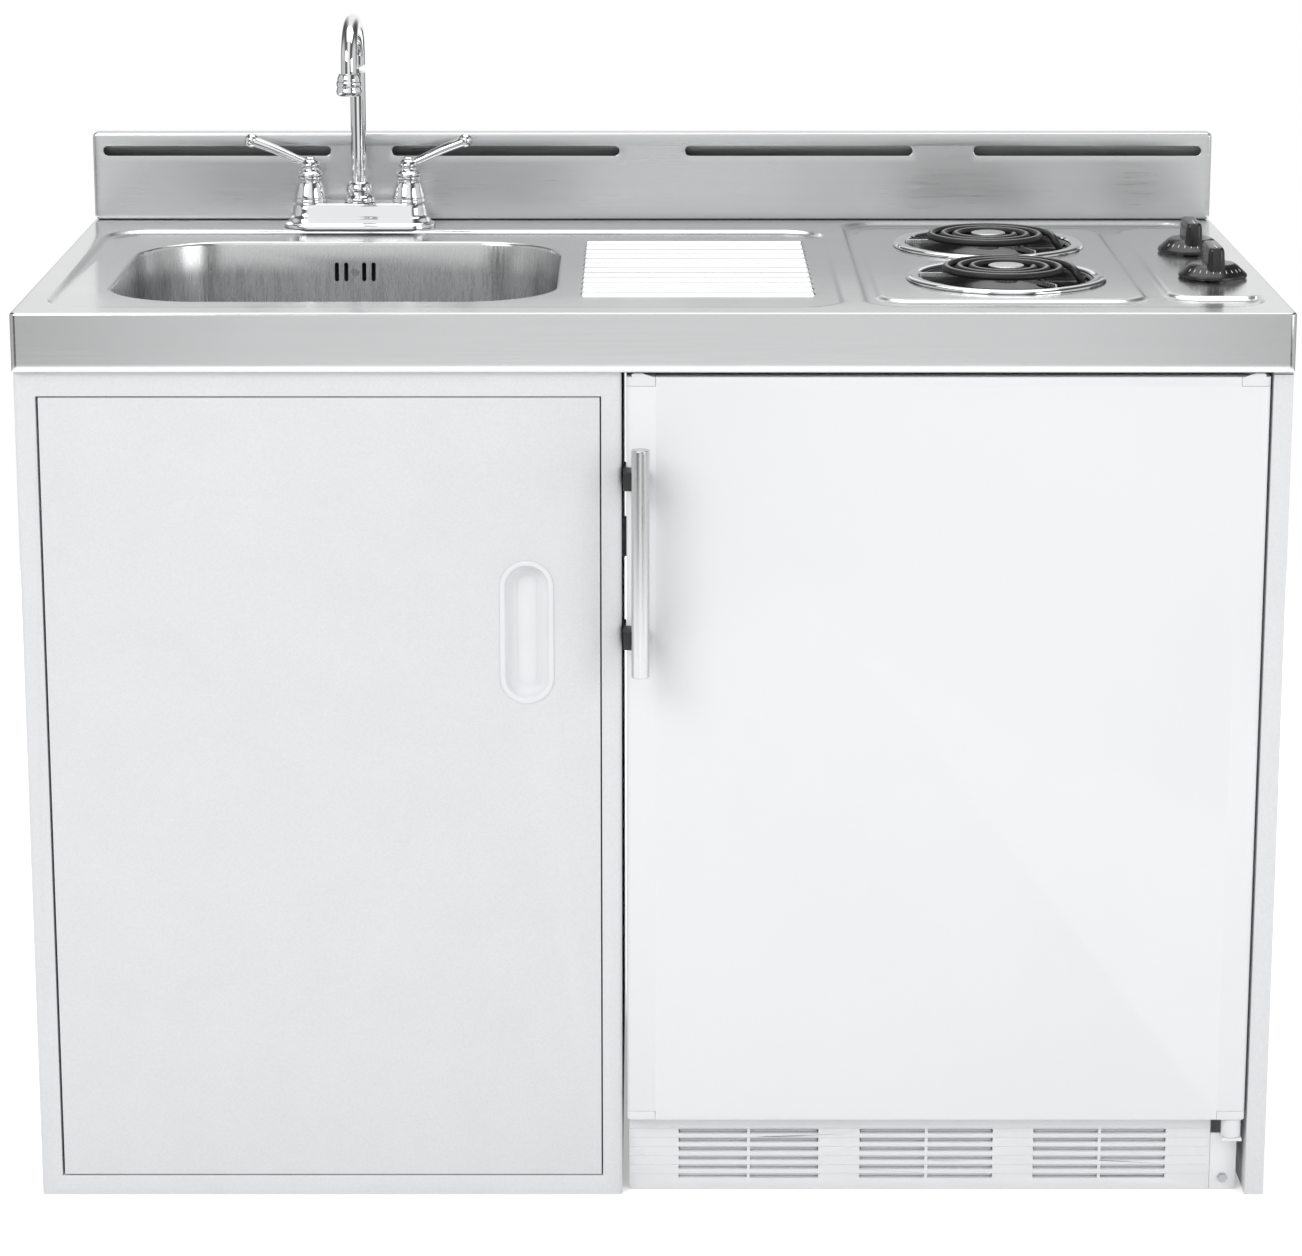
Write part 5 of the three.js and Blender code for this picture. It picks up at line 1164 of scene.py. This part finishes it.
def ring_pieces(place):
    x, y = RINGS[place]
    plateau = span(f"{place}_trim_ring")[0].z - 0.3
    top = span(f"{place}_coil_element")[1].z
    s = sizes("rings")
    path = coil_path(x, y, top - s.tube)
    sheath = FINISHES["heater_sheath"]
    piece(f"{place}_coil_wound", tube_mesh(path, s.tube, sheath, s.flat, 18),
        body_for(f"{place}_coil_element"), sheath,
          (f"{place}_coil_element",))
    ring = eased([(99.1, plateau + 0.3), (100, plateau + 0.3), (100, plateau + 1.8), (98.6, plateau + 3.2),
        (96.6, plateau + 4.2), (91, plateau + 4.2),
                  (88, plateau + 3.6), (86, plateau + 1.9), (88.8, plateau + 2.7), (91, plateau + 3.3),
                  (96.4, plateau + 3.3), (99.1, plateau + 0.3)], 0.8, 3)
    piece(f"{place}_trim_ring_spun",
        mesh_of(f"{place}_trim_ring_spun", moved(turned(ring, 128), (x, y, 0)), 30),
        body_for(f"{place}_trim_ring"),
          FINISHES["chrome"], (f"{place}_trim_ring",))
    low = span(f"{place}_drip_bowl")[0].z
    pan = eased([(92, plateau + 0.3), (92, plateau + 1.3), (84, plateau + 1.2), (82.4, plateau - 2),
        (80, plateau - 8), (74, plateau - 15), (62, low + 1.4), (40, low + 1),
                 (14, low + 1), (14, low), (40, low), (63, low + 0.4), (75.4, plateau - 16),
                 (81.2, plateau - 8.5), (84.6, plateau - 1), (86.4, plateau + 0.3),
                 (92, plateau + 0.3)], 2.0, 3)
    mesh = mesh_of(f"{place}_drip_bowl_spun", moved(turned(pan, 96), (x, y, 0)), 40)
    cutter = bpy.data.objects.new("cutter",
        mesh_of("cutter", box_form(x + 70, x + 90, y - 16, y + 16, plateau - 14.4, plateau - 1, 3)))
    bpy.context.scene.collection.objects.link(cutter)
    mesh = settled(mesh, ("BOOLEAN", {"object": cutter, "operation": "DIFFERENCE", "solver": "EXACT"}))
    bpy.data.objects.remove(cutter)
    smooth(mesh, 40)
    piece(f"{place}_drip_bowl_spun", mesh, body_for(f"{place}_drip_bowl"),
        FINISHES["black_enamel"], (f"{place}_drip_bowl",))
    arm_top = top - 2 * s.tube - 0.3
    rim = plateau + 1.6
    hub = eased([(0, arm_top - 9), (12, arm_top - 9), (12, top - 2), (17, top - 2), (18, top - 1.2),
        (17.6, top - 0.5), (16.4, top - 0.1), (12, top - 0.3),
                 (11, top), (0, top)], 0.5, 3)
    parts = [moved(turned(hub, 56), (x, y, 0))]
    for angle in (60, 180, 300):
        turn = Matrix.Rotation(math.radians(angle), 4, "Z")
        arm = box_form(10, 85.5, -1.0, 1.0, rim, arm_top, 0.4)
        parts.append(moved(moved(arm, turn=turn), (x, y, 0)))
    piece(f"{place}_coil_spider", mesh_of(f"{place}_coil_spider", together(*parts), 35),
        body_for(f"{place}_coil_support"),
          FINISHES["handle_steel"], (f"{place}_coil_support",))
    dress(f"{place}_terminal_block", FINISHES["ceramic"], "ceramic")


class RingBuilder(bpy.types.Operator):
    """Winds the coil elements and spins their trim rings, drip bowls and spiders"""

    bl_idname = "kitchenette.rings"
    bl_label = "Build rings"

    def execute(self, context):
        for place in RINGS:
            ring_pieces(place)
        return {"FINISHED"}


class KnobBuilder(bpy.types.Operator):
    """Moulds the two hob knobs with their scale marks, and the switches below them"""

    bl_idname = "kitchenette.knobs"
    bl_label = "Build knobs"

    def execute(self, context):
        s = sizes("knobs")
        black = FINISHES["black_plastic"]
        for place, (x, y) in KNOBS.items():
            base = span(f"{place}_knob")[0].z
            top = span(f"{place}_knob")[1].z
            r = s.skirt
            skirt = eased([(0, base + 2), (r - 3, base + 2), (r - 1, base), (r, base), (r, base + 2.4),
                (r - 1.2, base + 3.6), (r - 10, base + 11.6), (r - 13, base + 13.4),
                           (0, base + 14)], 0.7, 3)
            collar = [(3.6, base + 0.4), (7.2, base + 0.4), (7.2, base + 3), (3.6, base + 3),
                (3.6, base + 0.4)]
            fin = Field(x - s.fin / 2, x + s.fin / 2, y - r + 6, y + r - 6, 6)
            grip = loft([level(fin.outline(i, 8), base + z) for i, z in
                         [(0, 3), (0.2, 14), (1.0, top - base - 5), (1.5, top - base - 2.6),
                             (2.4, top - base - 1.1), (3.8, top - base - 0.2), (5.2, top - base)]])
            form = together(moved(turned(skirt, 96), (x, y, 0)), moved(turned(collar, 40), (x, y, 0)), grip)
            name = f"{place}_knob_moulded"
            piece(name, mesh_of(name, form, 35), body_for(f"{place}_knob"), black,
                (f"{place}_knob",))
            slope = math.atan2(8.0, 8.8)
            marks = GROWTHS["dial"].grow([(x, y, base + 7.7)], [], FINISHES["mark_white"], {
                "Count": s.marks, "Reach": (r - 5.6) * MM, "From": math.radians(-150),
                "To": math.radians(-30),
                "Size": (3.4 * MM, 0.7 * MM, 0.3 * MM), "Slope": slope})
            piece(f"{place}_knob_marks", marks, body_for(f"{place}_knob"),
                FINISHES["mark_white"])
            line = mesh_of(f"{place}_knob_pointer",
                box_form(x - 0.6, x + 0.6, y - r + 8.4, y - 6, top - 0.25, top + 0.02, 0.3), 35)
            piece(f"{place}_knob_pointer", line, body_for(f"{place}_knob"),
                FINISHES["mark_white"])
            dress(f"{place}_infinite_switch", FINISHES["black_moulding"], "zinc")
            dress(f"{place}_switch_shaft", FINISHES["zinc"], "zinc", 0.3)
        return {"FINISHED"}


# ---- cupboard ------------------------------------------------------------------------------------
def front_ring(field, inset, y, steps=14):
    """A ring that stands upright, facing the room, at depth y."""
    ring = field.outline(inset, steps)
    return np.column_stack([ring[:, 0], np.full(len(ring), y), ring[:, 1]])


class CupboardBuilder(bpy.types.Operator):
    """Coats the cupboard, its door and the side panel, and moulds the pull cup"""

    bl_idname = "kitchenette.cupboard"
    bl_label = "Build cupboard"

    def execute(self, context):
        coat, edge = FINISHES["powder_coat"], sizes("doors").edge
        for node in ("cabinet_shell", "cabinet_floor", "cabinet_back", "cabinet_door", "right_side_panel"):
            dress(node, coat, "powder_coat", edge if node in ("cabinet_door", "cabinet_shell") else 0.8,
                segments=3)
        dress("rear_rail", FINISHES["zinc"], "zinc")
        for node in ("hinge_pin_upper", "hinge_pin_lower"):
            dress(node, FINISHES["zinc"], "zinc", 0.3)
        low, high = span("pull_cup")
        flange = Field(low.x, high.x, low.z, high.z, (high.x - low.x) / 2 - 0.05)
        face = low.y + 1.1  # the door's face
        lip = 4.5
        rings = [front_ring(flange, 0.2, face - 0.25), front_ring(flange, 0.1, face - 0.7),
            front_ring(flange, 0.6, low.y + 0.15), front_ring(flange, 1.6, low.y),
                 front_ring(flange, lip - 1.0, low.y + 0.02), front_ring(flange, lip + 0.2, low.y + 0.4),
                 front_ring(flange, lip + 0.9, low.y + 1.6),
                 front_ring(flange, lip + 1.2, face + 5), front_ring(flange, lip + 1.9, face + 8),
                 front_ring(flange, lip + 4, face + 10.6),
                 front_ring(flange, lip + 7.5, high.y - 0.9), front_ring(flange, lip + 12, high.y - 0.9)]
        back = [front_ring(flange, lip + 12, high.y), front_ring(flange, lip + 6, high.y),
            front_ring(flange, lip + 2, face + 9.5), front_ring(flange, lip + 0.2, face + 5),
                front_ring(flange, lip - 0.1, face + 0.2), front_ring(flange, lip - 0.4, face - 0.25)]
        mesh = mesh_of("pull_cup_moulded", loft(rings + back, wrap=True), 40)
        floor = mesh_of("pull_cup_floor",
            loft([front_ring(flange, lip + 11.9, high.y - 0.9), front_ring(flange, lip + 11.9, high.y)]), 40)
        piece("pull_cup_moulded", mesh, body_for("pull_cup"), FINISHES["white_plastic"],
            ("pull_cup",))
        piece("pull_cup_floor", floor, body_for("pull_cup"), FINISHES["white_plastic"])
        # the side panel's top cap: a pale line over painted shade, a black strip that stands for the shadow
        # in the gap under the cap
        low, high = span("right_side_panel")
        gap_shade_strip = mesh_of("side_panel_gap_shade",
            box_form(low.x + 0.2, high.x - 0.6, low.y - 0.15, low.y + 0.6, high.z - 2.6, high.z - 1.5, 0.2),
            35)
        piece("side_panel_gap_shade", gap_shade_strip, body_for("right_side_panel"),
            FINISHES["black_moulding"])
        return {"FINISHED"}


# ---- fridge --------------------------------------------------------------------------------------
class FridgeDoorBuilder(bpy.types.Operator):
    """Paints the fridge door and fits its caps, gasket, liner, handle and hinges"""

    bl_idname = "kitchenette.fridge_door"
    bl_label = "Build fridge door"

    def execute(self, context):
        paint, plastic = FINISHES["white_paint"], FINISHES["white_plastic"]
        dress("fridge_door", paint, "white_paint", 0.5, segments=2, shading=50)
        for corner in ("upper_left", "upper_right", "lower_left", "lower_right"):
            dress(f"door_cap_{corner}", plastic, "white_plastic", 0.7, segments=3)
        dress("door_gasket", FINISHES["gasket_rubber"], "gasket_rubber", 3.0, segments=4)
        dress("door_liner", plastic, "white_plastic", 1.2, segments=3)
        low, high = span("handle_bar")
        x, y, r = (low.x + high.x) / 2, (low.y + high.y) / 2, (high.x - low.x) / 2
        bar = eased([(0, low.z), (r - 0.8, low.z), (r, low.z + 0.8), (r, high.z - 0.8), (r - 0.8, high.z),
            (0, high.z)], 0.5)
        steel = FINISHES["handle_steel"]
        piece("handle_bar_turned", mesh_of("handle_bar_turned", moved(turned(bar, 56), (x, y, 0)), 35),
            body_for("handle_bar"),
              steel, ("handle_bar",))
        for end in ("upper", "lower"):
            dress(f"handle_bracket_{end}", FINISHES["black_moulding"], "black_moulding", 1.0, segments=3)
        dress("lower_hinge_bracket", paint, "white_paint", 0.5)
        dress("upper_hinge", FINISHES["zinc"], "zinc", 0.4)
        low, high = span("lower_hinge_pin")
        x, y, r = (low.x + high.x) / 2, (low.y + high.y) / 2, (high.x - low.x) / 2
        cap = eased([(0, low.z), (r - 0.6, low.z), (r, low.z + 0.6), (r, low.z + 18.6),
            (r - 1.2, low.z + 19.7), (4, low.z + 19.7), (4, high.z), (0, high.z)], 0.6)
        piece("lower_hinge_cap", mesh_of("lower_hinge_cap", moved(turned(cap, 48), (x, y, 0)), 35),
            body_for("lower_hinge_pin"),
              plastic, ("lower_hinge_pin",))
        bolt = GROWTHS["stud"].grow([(x - 6, span("kick_grille")[0].y - 0.9, 13.0)], [], FINISHES["zinc"], {
            "Radius": 5.0 * MM, "Height": 3.0 * MM, "Tilt": (math.radians(90), 0.0, 0.0), "Sides": 6}, 20)
        piece("hinge_bolt", bolt, body_for("lower_hinge_bracket"), FINISHES["zinc"])
        return {"FINISHED"}


class FridgeInsideBuilder(bpy.types.Operator):
    """Finishes the fridge's cabinet, liner, shelves, drawer, dial, compressor and condenser"""

    bl_idname = "kitchenette.fridge_inside"
    bl_label = "Build fridge cabinet"

    def execute(self, context):
        plastic = FINISHES["white_plastic"]
        dress("fridge_cabinet", FINISHES["white_paint"], "white_paint", 0.6)
        dress("fridge_liner", plastic, "white_plastic", 2.0, segments=3)
        for level_name in ("upper", "lower"):
            dress(f"{level_name}_shelf", FINISHES["shelf_glass"], "shelf_glass", 0.8)
            low, high = span(f"{level_name}_shelf")
            trim = mesh_of(f"{level_name}_shelf_trim", together(
                box_form(low.x, high.x, low.y - 2.5, low.y + 6, low.z - 1.2, high.z + 1.2, 1.2),
                box_form(low.x, high.x, high.y - 9, high.y - 0.2, high.z + 0.1, high.z + 7, 1.0)))
            piece(f"{level_name}_shelf_trim", trim, body_for(f"{level_name}_shelf"), plastic)
        dress("crisper", plastic, "white_plastic", 1.0, segments=3)
        low, high = span("thermostat_dial")
        y, z, r = (low.y + high.y) / 2, (low.z + high.z) / 2, (high.z - low.z) / 2
        dial = eased([(0, 0), (r, 0), (r, 3.4), (r - 2, 4.6), (r - 5, 6), (r - 6, high.x - low.x - 1),
            (r - 7, high.x - low.x), (0, high.x - low.x)], 0.5)
        to_side = Matrix.Rotation(math.radians(-90), 4, "Y")
        piece("thermostat_dial_turned",
            mesh_of("thermostat_dial_turned", moved(moved(turned(dial, 56), turn=to_side), (high.x, y, z)),
            35),
              body_for("thermostat_dial"), plastic, ("thermostat_dial",))
        line = box_form(low.x - 0.15, low.x + 0.3, y - 0.7, y + 0.7, z + 2, z + r - 7.4, 0.2)
        piece("thermostat_pointer", mesh_of("thermostat_pointer", line, 35), body_for("thermostat_dial"),
            FINISHES["black_moulding"])
        dress("compressor", FINISHES["black_enamel"], "black_enamel", 2.0, segments=3, shading=50)
        low, high = span("condenser")
        dress("condenser", FINISHES["black_moulding"], "heater_sheath", 0.0, shading=50)
        wires = [(x, high.y - 7.2, (low.z + high.z) / 2) for x in np.arange(low.x + 20, high.x - 18, 11.0)]
        grid = GROWTHS["bar"].grow(wires, [], FINISHES["black_moulding"],
            {"Size": (1.6 * MM, 1.6 * MM, (high.z - low.z - 24) * MM)})
        piece("condenser_wires", grid, body_for("condenser"), FINISHES["black_moulding"])
        return {"FINISHED"}


class KickGrilleBuilder(bpy.types.Operator):
    """Moulds the kick grille with its stepped face, and sets tilted blades behind its slots"""

    bl_idname = "kitchenette.kick_grille"
    bl_label = "Build kick grille"

    def execute(self, context):
        plastic = FINISHES["white_plastic"]
        dress("kick_grille", plastic, "white_plastic", 0.4, segments=2, pierced=True)
        low, high = span("kick_grille")
        x0, y = low.x, low.y
        tilt = sizes("doors").slat_tilt
        for g, (a, b) in enumerate([(49.4, 188.8), (230.1, 362.9), (403.5, 535.5)]):
            middle = (a + b) / 2
            spots, wide = [], (b - a) / 2 - 2.5
            for part in (a + (middle - a) / 2, middle + (b - middle) / 2):
                spots += [(x0 + part, y + 5.0, 64.6 - 4.1 - k * 9.47) for k in range(6)]
            blades = GROWTHS["bar"].grow(spots, [], plastic,
                {"Size": (wide * MM, 5.0 * MM, 1.0 * MM), "Tilt": (-tilt, 0.0, 0.0)}, 30)
            piece(f"kick_grille_blades_{g}", blades, body_for("kick_grille"), plastic)
        steps = [((x0 + high.x) / 2, y - 0.12, 64.6 - k * 9.47) for k in range(6)]
        lines = GROWTHS["bar"].grow(steps, [], plastic,
            {"Size": ((high.x - x0 - 3) * MM, 0.7 * MM, 0.9 * MM), "Tilt": (math.radians(35), 0.0, 0.0)}, 30)
        piece("kick_grille_steps", lines, body_for("kick_grille"), plastic)
        heads = GROWTHS["stud"].grow([(x0 + 12, y - 0.3, 40), (high.x - 12, y - 0.3, 40)], [], plastic, {
            "Radius": 2.6 * MM, "Height": 1.2 * MM, "Tilt": (math.radians(90), 0.0, 0.0), "Sides": 20})
        piece("kick_grille_studs", heads, body_for("kick_grille"), plastic)
        return {"FINISHED"}


# ---- stage ---------------------------------------------------------------------------------------
PHOTO = (1302, 1256)
CAMERA = {"place": (-0.007, -0.2897 - 3.7, 1.53), "pitch": 13.2, "focal": 3965.0, "shift": (0.004, -0.06)}


def seen_ray(tree):
    """1 for what is seen straight, mirrored or through glass, 0 for the light that falls on things."""
    ray = tree.nodes.new("ShaderNodeLightPath")
    last = ray.outputs["Is Camera Ray"]
    for kind in ("Is Glossy Ray", "Is Transmission Ray"):
        either = tree.nodes.new("ShaderNodeMath")
        either.operation = "MAXIMUM"
        tree.links.new(last, either.inputs[0])
        tree.links.new(ray.outputs[kind], either.inputs[1])
        last = either.outputs[0]
    return last


def pale_floor(name, lift, reach):
    """A matt white floor, lifted to pure white towards its rim so that it runs into the backdrop."""
    material = bpy.data.materials.new(name)
    material.use_nodes = True
    tree = material.node_tree
    tree.nodes.clear()
    add, link = tree.nodes.new, tree.links.new
    shaders = ("BsdfDiffuse", "Emission", "AddShader", "OutputMaterial")
    matt, glow, both, out = (add(f"ShaderNode{kind}") for kind in shaders)
    matt.inputs["Color"].default_value = (0.8, 0.8, 0.8, 1)
    steps = ("TexCoord", "VectorMath", "MapRange", "Math")
    place, far, rise, power = (add(f"ShaderNode{kind}") for kind in steps)
    far.operation, power.operation, rise.interpolation_type = "LENGTH", "MULTIPLY", "SMOOTHSTEP"
    for index, value in ((1, reach * 0.4), (2, reach * 0.95), (3, lift), (4, 1.1)):
        rise.inputs[index].default_value = value
    link(place.outputs["Object"], far.inputs[0])
    link(far.outputs["Value"], rise.inputs[0])
    link(rise.outputs[0], power.inputs[0])
    link(seen_ray(tree), power.inputs[1])
    link(power.outputs[0], glow.inputs["Strength"])
    link(matt.outputs[0], both.inputs[0])
    link(glow.outputs[0], both.inputs[1])
    link(both.outputs[0], out.inputs[0])
    return material


# what polished metal mirrors from left to right: grey walls and dark cards between soft lights
STUDIO_BANDS = (
    (0.0, 0.5), (0.06, 0.9), (0.14, 0.08), (0.3, 0.06), (0.38, 0.8), (0.44, 1.1), (0.5, 1.4), (0.57, 1.25),
    (0.64, 0.65), (0.7, 0.06),
    (0.86, 0.05), (0.93, 0.95), (1.0, 0.6),
)


def studio_world(ambient):
    """White for the camera, even light for matt things, soft bands for mirrors."""
    world = bpy.data.worlds.new("studio")
    bpy.context.scene.world = world
    world.use_nodes = True
    tree = world.node_tree
    add, link = tree.nodes.new, tree.links.new
    back = tree.nodes["Background"]
    back.inputs["Color"].default_value = (1, 1, 1, 1)
    parts, bands, across = add("ShaderNodeSeparateXYZ"), add("ShaderNodeValToRGB"), add("ShaderNodeMapRange")
    link(add("ShaderNodeTexCoord").outputs["Generated"], parts.inputs[0])
    across.inputs[1].default_value = -1.0
    link(parts.outputs["X"], across.inputs[0])
    link(across.outputs[0], bands.inputs[0])
    ramp = bands.color_ramp
    ramp.interpolation = "B_SPLINE"
    while len(ramp.elements) > 1:
        ramp.elements.remove(ramp.elements[-1])
    for i, (at, value) in enumerate(STUDIO_BANDS):
        stop = ramp.elements[0] if i == 0 else ramp.elements.new(at)
        stop.position = at
        stop.color = (value, value, value, 1)
    ray = add("ShaderNodeLightPath")
    mirrored, shown = add("ShaderNodeMix"), add("ShaderNodeMix")
    link(ray.outputs["Is Glossy Ray"], mirrored.inputs[0])
    mirrored.inputs[2].default_value = ambient
    link(bands.outputs[0], mirrored.inputs[3])
    camera_or_glass = add("ShaderNodeMath")
    camera_or_glass.operation = "MAXIMUM"
    link(ray.outputs["Is Camera Ray"], camera_or_glass.inputs[0])
    link(ray.outputs["Is Transmission Ray"], camera_or_glass.inputs[1])
    link(camera_or_glass.outputs[0], shown.inputs[0])
    link(mirrored.outputs[0], shown.inputs[2])
    shown.inputs[3].default_value = 1.0
    link(shown.outputs[0], back.inputs["Strength"])


def lamp(name, place, target, size, power):
    light = bpy.data.lights.new(name, "AREA")
    light.shape = "RECTANGLE"
    light.size, light.size_y = size
    light.energy = power
    shape = bpy.data.objects.new(name, light)
    shape.location = place
    shape.rotation_euler = (Vector(target) - Vector(place)).to_track_quat("-Z", "Y").to_euler()
    bpy.context.scene.collection.objects.link(shape)


class StageBuilder(bpy.types.Operator):
    """Sets the floor, the soft lamps, the pale world and the camera"""

    bl_idname = "kitchenette.stage"
    bl_label = "Build stage"

    def execute(self, context):
        s = sizes("stage")
        scene = context.scene
        mesh = bpy.data.meshes.new("studio_floor")
        reach = 2.6
        rim = [(reach * math.cos(turn), reach * math.sin(turn), 0)
            for turn in np.linspace(0, 2 * math.pi, 96, endpoint=False)]
        mesh.from_pydata(rim, [], [tuple(range(len(rim)))])
        mesh.materials.append(pale_floor("studio_white", s.floor_lift, reach))
        floor = bpy.data.objects.new("studio_floor", mesh)
        scene.collection.objects.link(floor)
        studio_world(s.ambient)
        lamp("key", (-2.6, -3.4, 3.6), (0, 0, 0.5), (2.6, 2.2), s.key)
        lamp("fill", (3.2, -3.0, 1.8), (0, 0, 0.5), (2.2, 2.2), s.fill)
        lamp("top", (0.0, 0.6, 3.6), (0, 0, 0.8), (3.0, 2.0), s.fill)
        camera = bpy.data.cameras.new("camera")
        camera.sensor_width = 36.0
        camera.lens = CAMERA["focal"] * 36.0 / PHOTO[0]
        camera.shift_x, camera.shift_y = CAMERA["shift"]
        camera.clip_end = 100.0
        view = bpy.data.objects.new("camera", camera)
        view.location = CAMERA["place"]
        view.rotation_euler = (math.radians(90 - CAMERA["pitch"]), 0, 0)
        scene.collection.objects.link(view)
        scene.camera = view
        scene.view_settings.view_transform = "Standard"
        return {"FINISHED"}


# ---- add-on --------------------------------------------------------------------------------------
BUILDERS = (
    WorktopBuilder, SinkBuilder, TapBuilder, RingBuilder, KnobBuilder, CupboardBuilder, FridgeDoorBuilder,
    FridgeInsideBuilder,
    KickGrilleBuilder, StageBuilder,
)


class KitchenettePanel(bpy.types.Panel):
    """Lists the builders"""

    bl_idname = "VIEW3D_PT_kitchenette"
    bl_label = "Kitchenette"
    bl_space_type = "VIEW_3D"
    bl_region_type = "UI"
    bl_category = "Kitchenette"

    def draw(self, context):
        for builder in BUILDERS:
            self.layout.operator(builder.bl_idname)


def register():
    for group, kind in GROUPS.items():
        bpy.utils.register_class(kind)
        setattr(bpy.types.Scene, f"kitchenette_{group}", bpy.props.PointerProperty(type=kind))
    for kind in (*BUILDERS, KitchenettePanel):
        bpy.utils.register_class(kind)


def unregister():
    for kind in (KitchenettePanel, *reversed(BUILDERS)):
        bpy.utils.unregister_class(kind)
    for group, kind in GROUPS.items():
        delattr(bpy.types.Scene, f"kitchenette_{group}")
        bpy.utils.unregister_class(kind)


def main():
    register()
    FINISHES.update(make_finishes())
    GROWTHS.update(tube=tube_growth(), stud=stud_growth(), bar=bar_growth(), dial=dial_growth())
    for builder in BUILDERS:
        group, name = builder.bl_idname.split(".")
        getattr(getattr(bpy.ops, group), name)()


if __name__ == "__main__":
    main()
